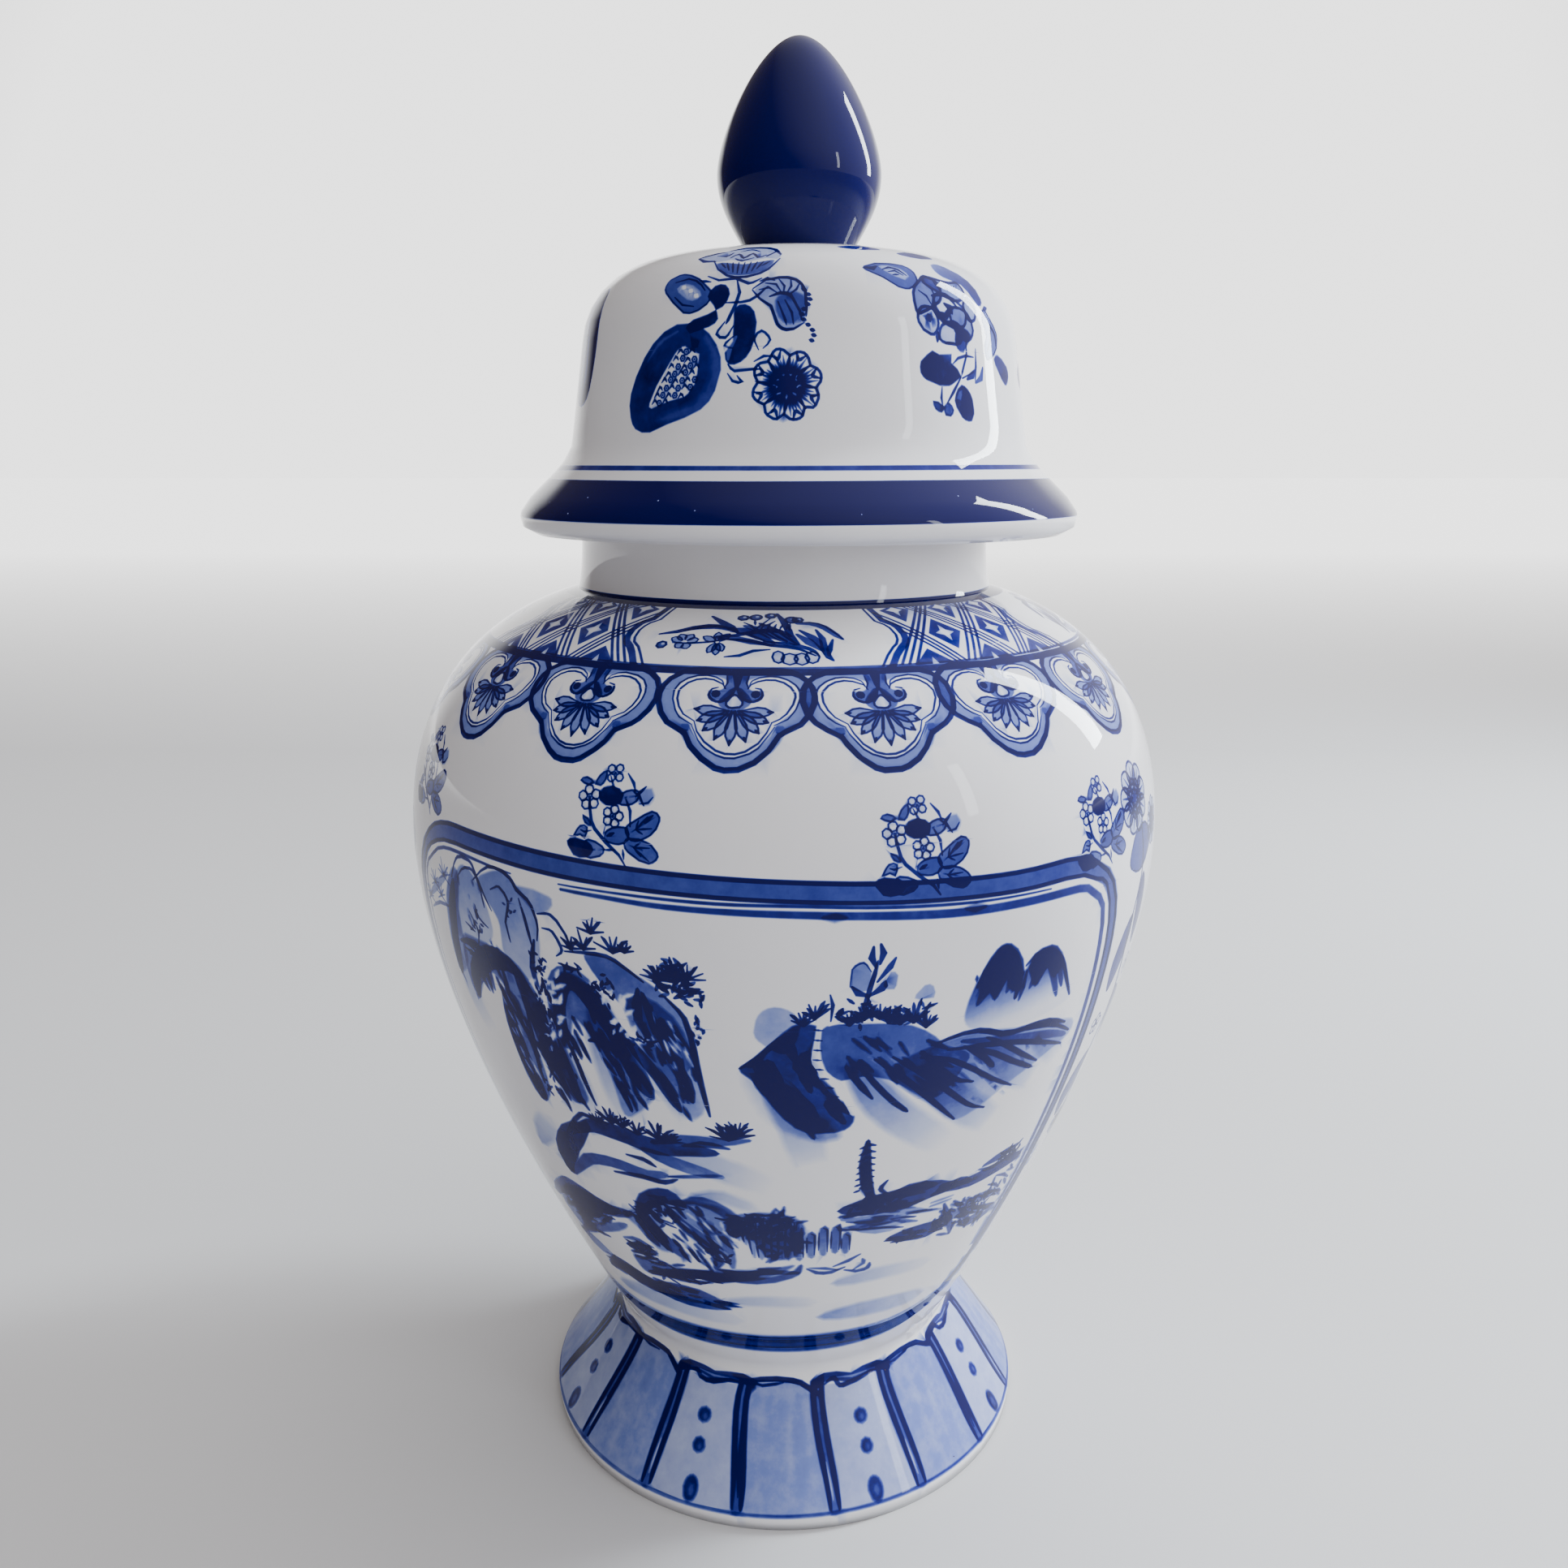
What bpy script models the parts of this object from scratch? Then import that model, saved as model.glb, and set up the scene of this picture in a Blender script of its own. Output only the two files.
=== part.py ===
"""Tall lidded ginger jar in glazed porcelain, modelled in metres, standing on z = 0 with +Z up.

The jar is two loose pieces, the pot and its lid. Each is thrown in parts that are luted together
with slip before the firing: the pot is a body shell, a neck collar and a hollow foot skirt, and
the lid is a dome, a seat ring that locates it in the neck, and a hollow bud finial.
Every part is a closed wall section turned about its axis. Front is -Y.
"""

import math

import bmesh
import bpy
from mathutils import Vector

# ---------------------------------------------------------------- driving dimensions, in metres

ROUND_STEPS = 48
JOINT_GAP = 0.0003  # left between two parts that touch

FOOT_RADIUS = 0.0858
FOOT_HEIGHT = 0.0400  # floor to waist
FOOT_LIP_HEIGHT = 0.0045  # upright white lip round the bottom
FOOT_LIP_DRAFT = 0.0012  # how much the lip narrows upwards
FOOT_WALL = 0.0060
FOOT_EDGE_ROUND = 0.0012

WAIST_RADIUS = 0.0612
WAIST_FILLET = 0.0080
BODY_FLARE_ANGLE = math.radians(29.0)  # body wall just above the waist, from upright

BELLY_RADIUS = 0.1228
BELLY_RISE = 0.1771  # waist to widest point
SHOULDER_RISE = 0.0764  # widest point to the root of the neck
SHOULDER_SLOPE = math.radians(15.0)  # shoulder where it meets the neck, from level
BODY_WALL = 0.0055
BODY_FLOOR = 0.0070
FLOOR_FILLET = 0.0060

# Curve fullness, as shares of the stretch that the curve crosses.
FLARE_FULLNESS = 0.187
UNDER_BELLY_FULLNESS = 0.316
OVER_BELLY_FULLNESS = 0.456
SHOULDER_FULLNESS = 0.552

NECK_ROOT_RADIUS = 0.0672
NECK_RIM_RADIUS = 0.0654
NECK_HEIGHT = 0.0190
NECK_WALL = 0.0050
NECK_EDGE_ROUND = 0.0012

LID_PLAY = 0.0052  # how far the lid can shift sideways in the neck
LID_SHIFT_SHARE = 0.9  # how much of that play it is pushed over to +X
LID_WALL = 0.0050
BRIM_RADIUS = 0.0890
BRIM_ROLL = 0.0050  # radius of the rolled edge
BRIM_DROP = 0.0019  # rolled edge hangs this far below the neck rim
LID_FOOT_RADIUS = 0.0720  # lid wall where the brim has swept up into it
LID_FOOT_RISE = 0.0265  # above the neck rim, as are the rises below
LID_SHOULDER_RADIUS = 0.0674
LID_SHOULDER_RISE = 0.0585
CROWN_RADIUS = 0.0447
CROWN_EDGE_RISE = 0.0792
CROWN_RISE = 0.0830
VENT_RADIUS = 0.0040

SEAT_THICKNESS = 0.0045
COLLAR_DROP = 0.0090  # depth of the locating collar in the neck
COLLAR_WALL = 0.0045

FINIAL_FOOT_RADIUS = 0.0166
FINIAL_RADIUS = 0.0253
FINIAL_BELLY_RISE = 0.0220
FINIAL_HEIGHT = 0.0613
FINIAL_WALL = 0.0045
FINIAL_FLARE_ANGLE = math.radians(29.3)

# ---------------------------------------------------------------- heights that follow from them

NECK_ROOT_HEIGHT = FOOT_HEIGHT + BELLY_RISE + SHOULDER_RISE
NECK_RIM_HEIGHT = NECK_ROOT_HEIGHT + NECK_HEIGHT
NECK_BORE_RADIUS = NECK_RIM_RADIUS - NECK_WALL
COLLAR_RADIUS = NECK_BORE_RADIUS - LID_PLAY
LID_SHIFT = LID_SHIFT_SHARE * LID_PLAY


def point(radius, height):
    return Vector((radius, 0.0, height))


def curve(start, start_handle, end_handle, end, steps):
    """Points along a cubic Bezier, both ends included."""
    points = []
    for step in range(steps + 1):
        t = step / steps
        s = 1.0 - t
        points.append(
            start * s**3
            + start_handle * (3 * s * s * t)
            + end_handle * (3 * s * t * t)
            + end * t**3
        )
    return points


def arc(centre, radius, start_angle, end_angle, steps):
    """Points along a circle, both ends included, with angles anticlockwise from +X in the section."""
    points = []
    for step in range(steps + 1):
        angle = start_angle + (end_angle - start_angle) * step / steps
        points.append(centre + point(radius * math.cos(angle), radius * math.sin(angle)))
    return points


def inner_face(outline, wall):
    """The outline moved inwards by the wall, listed the other way. It runs up its outer side."""
    moved = []
    for index, here in enumerate(outline):
        before = outline[max(index - 1, 0)]
        after = outline[min(index + 1, len(outline) - 1)]
        along = (after - before).normalized()
        moved.append(here + point(-along.z, along.x) * wall)
    return moved[::-1]


def turned_part(name, section, closed, material, parent):
    """Spins a wall section about the parent's axis. An open section has both its ends on the axis."""
    work = bmesh.new()
    verts = [work.verts.new(place) for place in section]
    pairs = list(zip(verts, verts[1:]))
    if closed:
        pairs.append((verts[-1], verts[0]))
    edges = [work.edges.new(pair) for pair in pairs]
    bmesh.ops.spin(
        work,
        geom=verts + edges,
        cent=(0, 0, 0),
        axis=(0, 0, 1),
        dvec=(0, 0, 0),
        angle=math.tau,
        steps=ROUND_STEPS,
        use_merge=True,
        use_duplicate=False,
    )
    bmesh.ops.remove_doubles(work, verts=work.verts, dist=1e-6)
    bmesh.ops.recalc_face_normals(work, faces=work.faces)
    mesh = bpy.data.meshes.new(name)
    work.to_mesh(mesh)
    work.free()
    mesh.shade_smooth()
    mesh.set_sharp_from_angle(angle=math.radians(35))
    mesh.materials.append(material)
    part = bpy.data.objects.new(name, mesh)
    bpy.context.scene.collection.objects.link(part)
    part.parent = parent
    return part


def glaze(name, colour, roughness):
    material = bpy.data.materials.new(name)
    material.use_nodes = True
    shader = material.node_tree.nodes["Principled BSDF"]
    shader.inputs["Base Color"].default_value = (*colour, 1.0)
    shader.inputs["Roughness"].default_value = roughness
    shader.inputs["Metallic"].default_value = 0.0
    return material


def axis_empty(name, location):
    empty = bpy.data.objects.new(name, None)
    empty.location = location
    bpy.context.scene.collection.objects.link(empty)
    return empty


def foot_outline():
    """Outer face of the foot, from the bottom of its lip up to the waist."""
    lip_top = point(FOOT_RADIUS - FOOT_LIP_DRAFT, FOOT_LIP_HEIGHT)
    centre = point(WAIST_RADIUS + WAIST_FILLET, FOOT_HEIGHT)
    # The flare is the straight line from the lip that just touches the waist fillet.
    to_lip = lip_top - centre
    spread = math.acos(WAIST_FILLET / to_lip.length)
    touch = math.atan2(to_lip.z, to_lip.x) - spread
    waist = arc(centre, WAIST_FILLET, touch, -math.pi, 3)
    waist[-1].z -= JOINT_GAP / 2
    edge = arc(
        point(FOOT_RADIUS - FOOT_EDGE_ROUND, FOOT_EDGE_ROUND),
        FOOT_EDGE_ROUND,
        -math.pi / 2,
        0,
        2,
    )
    return edge, [lip_top] + waist


def foot_section():
    edge, flare = foot_outline()
    inside = inner_face([edge[-1]] + flare, FOOT_WALL)
    top = flare[-1]
    # The inner face starts level with the top and ends on the flat ring that the jar stands on.
    inside[0] = point(top.x - FOOT_WALL, top.z)
    ring = point(inside[-1].x, 0.0)
    return edge + flare + inside[:-1] + [ring]


def body_outline():
    """Outer face of the body, from just above the waist up to the root of the neck."""
    centre = point(WAIST_RADIUS + WAIST_FILLET, FOOT_HEIGHT)
    waist = arc(centre, WAIST_FILLET, math.pi, math.pi - BODY_FLARE_ANGLE, 2)
    waist[0].z += JOINT_GAP / 2
    start = waist[-1]
    flare = point(math.sin(BODY_FLARE_ANGLE), math.cos(BODY_FLARE_ANGLE))
    belly = point(BELLY_RADIUS, FOOT_HEIGHT + BELLY_RISE)
    under = curve(
        start,
        start + flare * (FLARE_FULLNESS * BELLY_RISE),
        belly - point(0, UNDER_BELLY_FULLNESS * BELLY_RISE),
        belly,
        9,
    )
    root = point(NECK_ROOT_RADIUS, NECK_ROOT_HEIGHT - JOINT_GAP / 2)
    inward = point(math.cos(SHOULDER_SLOPE), -math.sin(SHOULDER_SLOPE))
    shoulder = curve(
        belly,
        belly + point(0, OVER_BELLY_FULLNESS * SHOULDER_RISE),
        root + inward * (SHOULDER_FULLNESS * SHOULDER_RISE),
        root,
        8,
    )
    return waist[:-1] + under[:-1] + shoulder


def body_section():
    outside = body_outline()
    base_height = outside[0].z
    floor_height = FOOT_HEIGHT + BODY_FLOOR
    mouth_radius = NECK_ROOT_RADIUS - NECK_WALL
    inside = [
        place
        for place in inner_face(outside[::2], BODY_WALL)
        if place.z > floor_height + FLOOR_FILLET and place.x > mouth_radius
    ]
    landing = point(mouth_radius, outside[-1].z)
    lip = point(mouth_radius, inside[0].z)
    floor_edge = point(inside[-1].x - FLOOR_FILLET, floor_height)
    return (
        [point(0, base_height)]
        + outside
        + [landing, lip]
        + inside
        + [floor_edge, point(0, floor_height)]
    )


def neck_section():
    base = NECK_ROOT_HEIGHT + JOINT_GAP / 2
    rim = NECK_RIM_HEIGHT
    soft = NECK_EDGE_ROUND
    return [
        point(NECK_ROOT_RADIUS - NECK_WALL, base),
        point(NECK_ROOT_RADIUS, base),
        point(NECK_RIM_RADIUS, rim - soft),
        point(NECK_RIM_RADIUS - soft, rim),
        point(NECK_BORE_RADIUS + soft, rim),
        point(NECK_BORE_RADIUS, rim - soft),
    ]


# The lid's parts are drawn about the lid's own axis, with heights above the neck rim.


def lid_outline():
    """Outer face of the lid, from the top of the rolled edge to the crown round the finial."""
    roll_centre = point(BRIM_RADIUS - BRIM_ROLL, BRIM_ROLL - BRIM_DROP)
    roll = arc(roll_centre, BRIM_ROLL, -math.pi / 2, math.radians(30), 5)
    foot = point(LID_FOOT_RADIUS, LID_FOOT_RISE)
    sweep_start = roll[-1]
    sweep_rise = foot.z - sweep_start.z
    brim = curve(
        sweep_start,
        sweep_start + point(-0.13 * sweep_rise, 0.28 * sweep_rise),
        foot + point(0.03 * sweep_rise, -0.36 * sweep_rise),
        foot,
        5,
    )
    shoulder = point(LID_SHOULDER_RADIUS, LID_SHOULDER_RISE)
    crown_edge = point(CROWN_RADIUS, CROWN_EDGE_RISE)
    turn_rise = crown_edge.z - shoulder.z
    turn_depth = shoulder.x - crown_edge.x
    turn = curve(
        shoulder,
        shoulder + point(-0.08 * turn_depth, 0.43 * turn_rise),
        crown_edge + point(0.65 * turn_depth, -0.15 * turn_rise),
        crown_edge,
        6,
    )
    crown = [
        point(FINIAL_FOOT_RADIUS, CROWN_RISE - JOINT_GAP),
        point(VENT_RADIUS, CROWN_RISE - JOINT_GAP),
    ]
    return roll, brim[1:] + turn + crown


def lid_section():
    roll, above = lid_outline()
    seat_top = JOINT_GAP + SEAT_THICKNESS
    crown_under = point(VENT_RADIUS, CROWN_RISE - LID_WALL)
    inside = [
        place
        for place in inner_face(above[:-2], LID_WALL)[::2]
        if place.z > seat_top + BRIM_ROLL
    ]
    mouth = point(BRIM_RADIUS - 2 * BRIM_ROLL, seat_top + BRIM_ROLL / 2)
    mouth_edge = point(BRIM_RADIUS - 2 * BRIM_ROLL, BRIM_ROLL / 2 - BRIM_DROP)
    return roll + above + [crown_under] + inside + [mouth, mouth_edge]


def seat_section():
    """An L in section: a flat shelf that rests on the neck rim, and a collar that drops inside it."""
    shelf_radius = BRIM_RADIUS - 2 * BRIM_ROLL - JOINT_GAP
    underside = JOINT_GAP
    top = underside + SEAT_THICKNESS
    tip = -COLLAR_DROP
    bore = COLLAR_RADIUS - COLLAR_WALL
    return [
        point(COLLAR_RADIUS, underside),
        point(shelf_radius, underside),
        point(shelf_radius, top),
        point(bore, top),
        point(bore, tip),
        point(COLLAR_RADIUS - COLLAR_WALL / 4, tip),
        point(COLLAR_RADIUS, tip + COLLAR_WALL / 4),
    ]


def finial_section():
    foot = point(FINIAL_FOOT_RADIUS, CROWN_RISE)
    belly = point(FINIAL_RADIUS, CROWN_RISE + FINIAL_BELLY_RISE)
    tip = point(0, CROWN_RISE + FINIAL_HEIGHT)
    over_rise = FINIAL_HEIGHT - FINIAL_BELLY_RISE
    flare = point(math.sin(FINIAL_FLARE_ANGLE), math.cos(FINIAL_FLARE_ANGLE))
    under = curve(
        foot,
        foot + flare * (0.37 * FINIAL_BELLY_RISE),
        belly - point(0, 0.40 * FINIAL_BELLY_RISE),
        belly,
        4,
    )
    over = curve(
        belly,
        belly + point(0, 0.29 * over_rise),
        tip + point(0.46 * FINIAL_RADIUS, 0),
        tip,
        7,
    )
    outside = under + over[1:]
    floor_height = CROWN_RISE + FINIAL_WALL
    hollow = [
        place
        for place in inner_face(outside, FINIAL_WALL)
        if place.z > floor_height and place.x > VENT_RADIUS
    ]
    vent = [
        point(VENT_RADIUS, CROWN_RISE),
        point(VENT_RADIUS, floor_height),
        point(hollow[-1].x, floor_height),
    ]
    hollow_top = point(0, tip.z - FINIAL_WALL)
    return outside[::-1] + vent + hollow[::-1] + [hollow_top]


# ---------------------------------------------------------------- the jar

for old in list(bpy.data.objects):
    bpy.data.objects.remove(old, do_unlink=True)

painted_white = glaze("painted_white_glaze", (0.66, 0.70, 0.80), 0.12)
plain_white = glaze("plain_white_glaze", (0.84, 0.85, 0.85), 0.12)
periwinkle = glaze("periwinkle_glaze", (0.22, 0.32, 0.62), 0.12)
navy = glaze("navy_glaze", (0.012, 0.014, 0.10), 0.08)
bare_clay = glaze("bare_clay", (0.70, 0.63, 0.54), 0.60)

pot_axis = axis_empty("pot_axis", (0, 0, 0))
lid_axis = axis_empty("lid_axis", (LID_SHIFT, 0, NECK_RIM_HEIGHT))

turned_part("foot_skirt", foot_section(), True, periwinkle, pot_axis)
turned_part("body_shell", body_section(), False, painted_white, pot_axis)
turned_part("neck_collar", neck_section(), True, plain_white, pot_axis)
turned_part("lid_dome", lid_section(), True, painted_white, lid_axis)
turned_part("lid_seat_ring", seat_section(), True, bare_clay, lid_axis)
turned_part("finial", finial_section(), False, navy, lid_axis)
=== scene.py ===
"""A tall porcelain ginger jar painted in underglaze cobalt: pot, lid, and the light it stands in."""

import math
import random

import bmesh
import bpy
import numpy as np
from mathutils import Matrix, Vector
from mathutils.geometry import delaunay_2d_cdt
from mathutils.kdtree import KDTree


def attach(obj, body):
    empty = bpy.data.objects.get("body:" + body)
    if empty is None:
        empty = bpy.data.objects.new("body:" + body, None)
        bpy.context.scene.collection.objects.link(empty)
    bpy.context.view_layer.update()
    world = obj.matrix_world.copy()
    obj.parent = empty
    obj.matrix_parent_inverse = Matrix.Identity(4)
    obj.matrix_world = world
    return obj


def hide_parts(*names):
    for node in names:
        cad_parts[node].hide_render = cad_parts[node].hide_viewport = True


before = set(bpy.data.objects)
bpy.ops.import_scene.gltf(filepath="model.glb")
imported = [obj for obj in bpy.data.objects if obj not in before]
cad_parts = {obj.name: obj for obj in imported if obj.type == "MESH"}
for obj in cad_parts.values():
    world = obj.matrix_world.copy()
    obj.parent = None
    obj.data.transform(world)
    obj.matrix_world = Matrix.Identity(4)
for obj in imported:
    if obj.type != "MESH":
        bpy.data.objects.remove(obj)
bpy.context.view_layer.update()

# ------------------------------------------------------------------------------- camera
# A hand-held view from a little above the belly, close enough that the rims bow strongly. It
# looks down by about 14 degrees, straight at the landscape panel.

SENSOR_WIDTH = 36.0
LENS = 29.91
CAMERA_AT = (0.0, -0.4335, 0.331)
CAMERA_TURN = (math.radians(76.32), 0.0, 0.0)
camera_data = bpy.data.cameras.new("camera")
camera_data.sensor_width = SENSOR_WIDTH
camera_data.lens = LENS
camera = bpy.data.objects.new("camera", camera_data)
camera.location = CAMERA_AT
camera.rotation_euler = CAMERA_TURN
bpy.context.scene.collection.objects.link(camera)
bpy.context.scene.camera = camera

# ------------------------------------------------------------------------------- turned walls
# Every part is thrown on the wheel, so one outline in millimetres makes it. A wall is its outer
# face: the painting is laid out flat on it, as turns in degrees and lengths up the wall.

MM = 0.001
ROUND_STEPS = 180
SEAM_TURN = -178.0


def bezier(start, start_handle, end_handle, end, steps=160):
    t = np.linspace(0, 1, steps + 1)[:, None]
    s = 1 - t
    ends = [np.array(place, float) for place in (start, start_handle, end_handle, end)]
    return ends[0] * s**3 + 3 * ends[1] * s * s * t + 3 * ends[2] * s * t * t + ends[3] * t**3


def arc(centre, radius, start_angle, end_angle, steps=24):
    angle = np.linspace(start_angle, end_angle, steps + 1)
    return np.stack([centre[0] + radius * np.cos(angle), centre[1] + radius * np.sin(angle)], 1)


def straight(start, end, steps=40):
    t = np.linspace(0, 1, steps + 1)[:, None]
    return np.array(start, float) * (1 - t) + np.array(end, float) * t


class Wall:
    """The outer face of a turned wall: radius and height in mm at any length up the wall."""

    def __init__(self, *stretches, centre_x=0.0, base=0.0):
        line = np.vstack([stretches[0]] + [stretch[1:] for stretch in stretches[1:]])
        self.line = line
        self.ups = base + np.concatenate([[0], np.cumsum(np.hypot(*np.diff(line, axis=0).T))])
        self.low = self.ups[0]
        self.high = self.ups[-1]
        self.centre_x = centre_x
        along = np.gradient(line, axis=0)
        along /= np.hypot(*along.T)[:, None]
        self.outward = np.stack([along[:, 1], -along[:, 0]], 1)

    def radius(self, up):
        return np.interp(up, self.ups, self.line[:, 0])

    def height(self, up):
        return np.interp(up, self.ups, self.line[:, 1])

    def place(self, turn, up):
        """Points in metres, for turns in degrees round from the front towards +X."""
        angle = np.radians(turn)
        radius = self.radius(up)
        across = radius * np.sin(angle) + self.centre_x
        return np.stack([across, -radius * np.cos(angle), self.height(up)], 1) * MM

    def normal(self, turn, up):
        angle = np.radians(turn)
        out = np.interp(up, self.ups, self.outward[:, 0])
        rise = np.interp(up, self.ups, self.outward[:, 1])
        length = np.hypot(out, rise)
        return np.stack([out * np.sin(angle), -out * np.cos(angle), rise], 1) / length[:, None]


# ------------------------------------------------------------------------------- brushwork
# The cobalt is brushed on the dry clay and sinks a little into the glaze, so each stroke has a
# soft edge and a dark core. Strokes and washes are cut into the mesh along their own edges.

BEND_PER_POINT = math.radians(14)
LONGEST_GAP = 4.5
LONG_STROKE = 60.0
WASH_GRID = 2.2


def smooth_line(points, step=1.2, closed=False):
    """A Catmull-Rom curve through given points, in mm or degrees, resampled evenly."""
    points = np.array(points, float)
    if len(points) == 2 and not closed:
        spread = np.hypot(*(points[1] - points[0]))
        return straight(points[0], points[1], max(2, int(spread / (3 * step))))
    if closed:
        padded = np.vstack([points[-1], points, points[:2]])
    else:
        padded = np.vstack([2 * points[0] - points[1], points, 2 * points[-1] - points[-2]])
    line = []
    for before, start, end, after in zip(padded, padded[1:], padded[2:], padded[3:]):
        pieces = max(1, int(np.hypot(*(end - start)) / step + 0.5))
        t = np.arange(pieces)[:, None] / pieces
        line.append(
            0.5
            * (
                2 * start
                + (end - before) * t
                + (2 * before - 5 * start + 4 * end - after) * t**2
                + (3 * start - before - 3 * end + after) * t**3
            )
        )
    if not closed:
        line.append(points[-1:])
    line = np.vstack(line)
    # Straighter stretches need fewer points.
    along = np.diff(line, axis=0)
    heading = np.unwrap(np.arctan2(along[:, 1], along[:, 0]))
    kept = [0]
    for i in range(1, len(line) - 1):
        gone = np.hypot(*(line[i] - line[kept[-1]]))
        if abs(heading[i] - heading[kept[-1]]) > BEND_PER_POINT or gone > LONGEST_GAP:
            kept.append(i)
    kept.append(len(line) - 1)
    return line[kept]


class Painting:
    """Brushwork on a wall laid out flat: turns in degrees, ups in mm along the wall.

    Marks are kept in the order they are painted. cut() cuts their edges into the surface and
    ink() gives every point its depth of cobalt, 0 on bare white and about 1 in a full stroke.
    """

    SPREAD = 2.0  # flat mm per degree while the marks are cut in
    SIDE = 4.0  # degrees of overlap past the seam
    MARGIN = 0.05  # mm that every cut keeps from the wall's own rims

    def __init__(self, wall, seam, seed):
        self.wall = wall
        self.seam = seam
        self.marks = []
        self.points = []
        self.edges = []
        self.hand = random.Random(seed)

    def degrees(self, mm, up):
        return np.degrees(mm / self.wall.radius(up))

    def outline(self, chain, closed):
        """Adds one line of cuts."""
        first = len(self.points)
        self.points.extend(map(tuple, chain))
        count = len(chain)
        self.edges.extend((first + i, first + i + 1) for i in range(count - 1))
        if closed:
            self.edges.append((first + count - 1, first))

    def copies(self, turns):
        """The whole turns by which a mark is repeated, so that it also reaches across the seam."""
        low, high = self.seam - self.SIDE, self.seam + 360 + self.SIDE
        shifts = (-720, -360, 0, 360, 720)
        return [s for s in shifts if turns.max() + s > low and turns.min() + s < high]

    def brush(self, path, width, ink=1.0, end_ink=None, soft=0.3, tips=(0.35, 0.35), lift=0.0,
              closed=False, step=1.2, steady=0.0):
        """One stroke: width in mm, tips as shares of it, steady the shake of the hand in mm.

        lift wipes colour off instead of laying it on."""
        path = [
            (turn + self.hand.uniform(-steady, steady) / 2, up + self.hand.uniform(-steady, steady))
            for turn, up in path
        ]
        metric = np.radians(self.wall.radius(np.mean([up for _, up in path])))
        line = smooth_line([(turn * metric, up) for turn, up in path], step, closed)
        count = len(line)
        t = np.linspace(0, 1, count)
        if closed:
            half = np.full(count, width / 2)
            along = np.roll(line, -1, 0) - np.roll(line, 1, 0)
        else:
            start = tips[0] + (1 - tips[0]) * np.clip(t / 0.3, 0, 1) ** 0.7
            end = tips[1] + (1 - tips[1]) * np.clip((1 - t) / 0.3, 0, 1) ** 0.7
            half = width / 2 * start * end
            along = np.gradient(line, axis=0)
        along /= np.maximum(np.hypot(*along.T), 1e-9)[:, None]
        across = np.stack([-along[:, 1], along[:, 0]], 1)
        inks = ink + ((ink if end_ink is None else end_ink) - ink) * t
        # True turns come back from the flat stroke at each height's own radius.
        middle = line[:, 0].mean()

        def to_wall(flat):
            flat = np.array(flat)
            scale = np.radians(self.wall.radius(flat[:, 1]))
            return np.stack([middle / metric + (flat[:, 0] - middle) / scale, flat[:, 1]], 1)

        if metric * 40 < np.ptp(line[:, 0]) or np.ptp(line[:, 1]) > LONG_STROKE:
            # A long stroke keeps its turns, and only its width is stretched.
            def to_wall(flat):
                flat = np.array(flat)
                return np.stack([flat[:, 0] / metric, flat[:, 1]], 1)

        rings = []
        for grow in (soft / 2, -soft / 2):
            reach = half + grow
            if grow < 0 and reach.max() < 0.06:
                continue
            reach = np.maximum(reach, 0.04)
            left = line + across * reach[:, None]
            right = line - across * reach[:, None]
            if closed:
                rings.append((left, True))
                rings.append((right, True))
            else:
                nose = line[:1] - along[:1] * reach[0]
                tail = line[-1:] + along[-1:] * reach[-1]
                rings.append((np.vstack([nose, left, tail, right[::-1]]), True))
        if half.max() > 1.2 or end_ink is not None:
            rings.append((line, closed))
        core = to_wall(line)
        for shift in self.copies(core[:, 0]):
            for ring, is_closed in rings:
                self.outline(to_wall(ring) + (shift, 0), is_closed)
            self.marks.append(
                {
                    "kind": "brush",
                    "line": core + (shift, 0),
                    "half": half,
                    "inks": inks,
                    "soft": soft,
                    "lift": lift,
                    "closed": closed,
                }
            )

    def wash(self, outline, ink, fade_from=None, fade_to=None, end_ink=0.0, soft=0.5, lift=0.0, step=1.6,
             corners=False):
        """A flat or fading wash inside a closed outline."""
        metric = np.radians(self.wall.radius(np.mean([up for _, up in outline])))
        flat = np.array([(turn * metric, up) for turn, up in outline], float)
        line = flat if corners else smooth_line(flat, step, closed=True)
        along = np.roll(line, -1, 0) - np.roll(line, 1, 0)
        along /= np.maximum(np.hypot(*along.T), 1e-9)[:, None]
        across = np.stack([-along[:, 1], along[:, 0]], 1)
        scale = (1 / metric, 1)
        core = line * scale
        inner = []
        if fade_from is not None:
            low, high = line.min(0), line.max(0)
            columns = np.arange(low[0], high[0], WASH_GRID)
            rows = np.arange(low[1], high[1], WASH_GRID)
            grid = np.array([(x, y) for x in columns for y in rows])
            if len(grid):
                inner = grid[inside(grid, line)] * scale
        for shift in self.copies(core[:, 0]):
            for grow in (soft / 2, -soft / 2):
                self.outline((line + across * grow) * scale + (shift, 0), True)
            self.points.extend(map(tuple, np.array(inner) + (shift, 0)) if len(inner) else [])
            self.marks.append(
                {
                    "kind": "wash",
                    "line": core + (shift, 0),
                    "ink": ink,
                    "end_ink": end_ink,
                    "fade": None if fade_from is None else (
                        np.array(fade_from) + (shift, 0), np.array(fade_to) + (shift, 0)
                    ),
                    "soft": soft,
                    "lift": lift,
                }
            )

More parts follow.
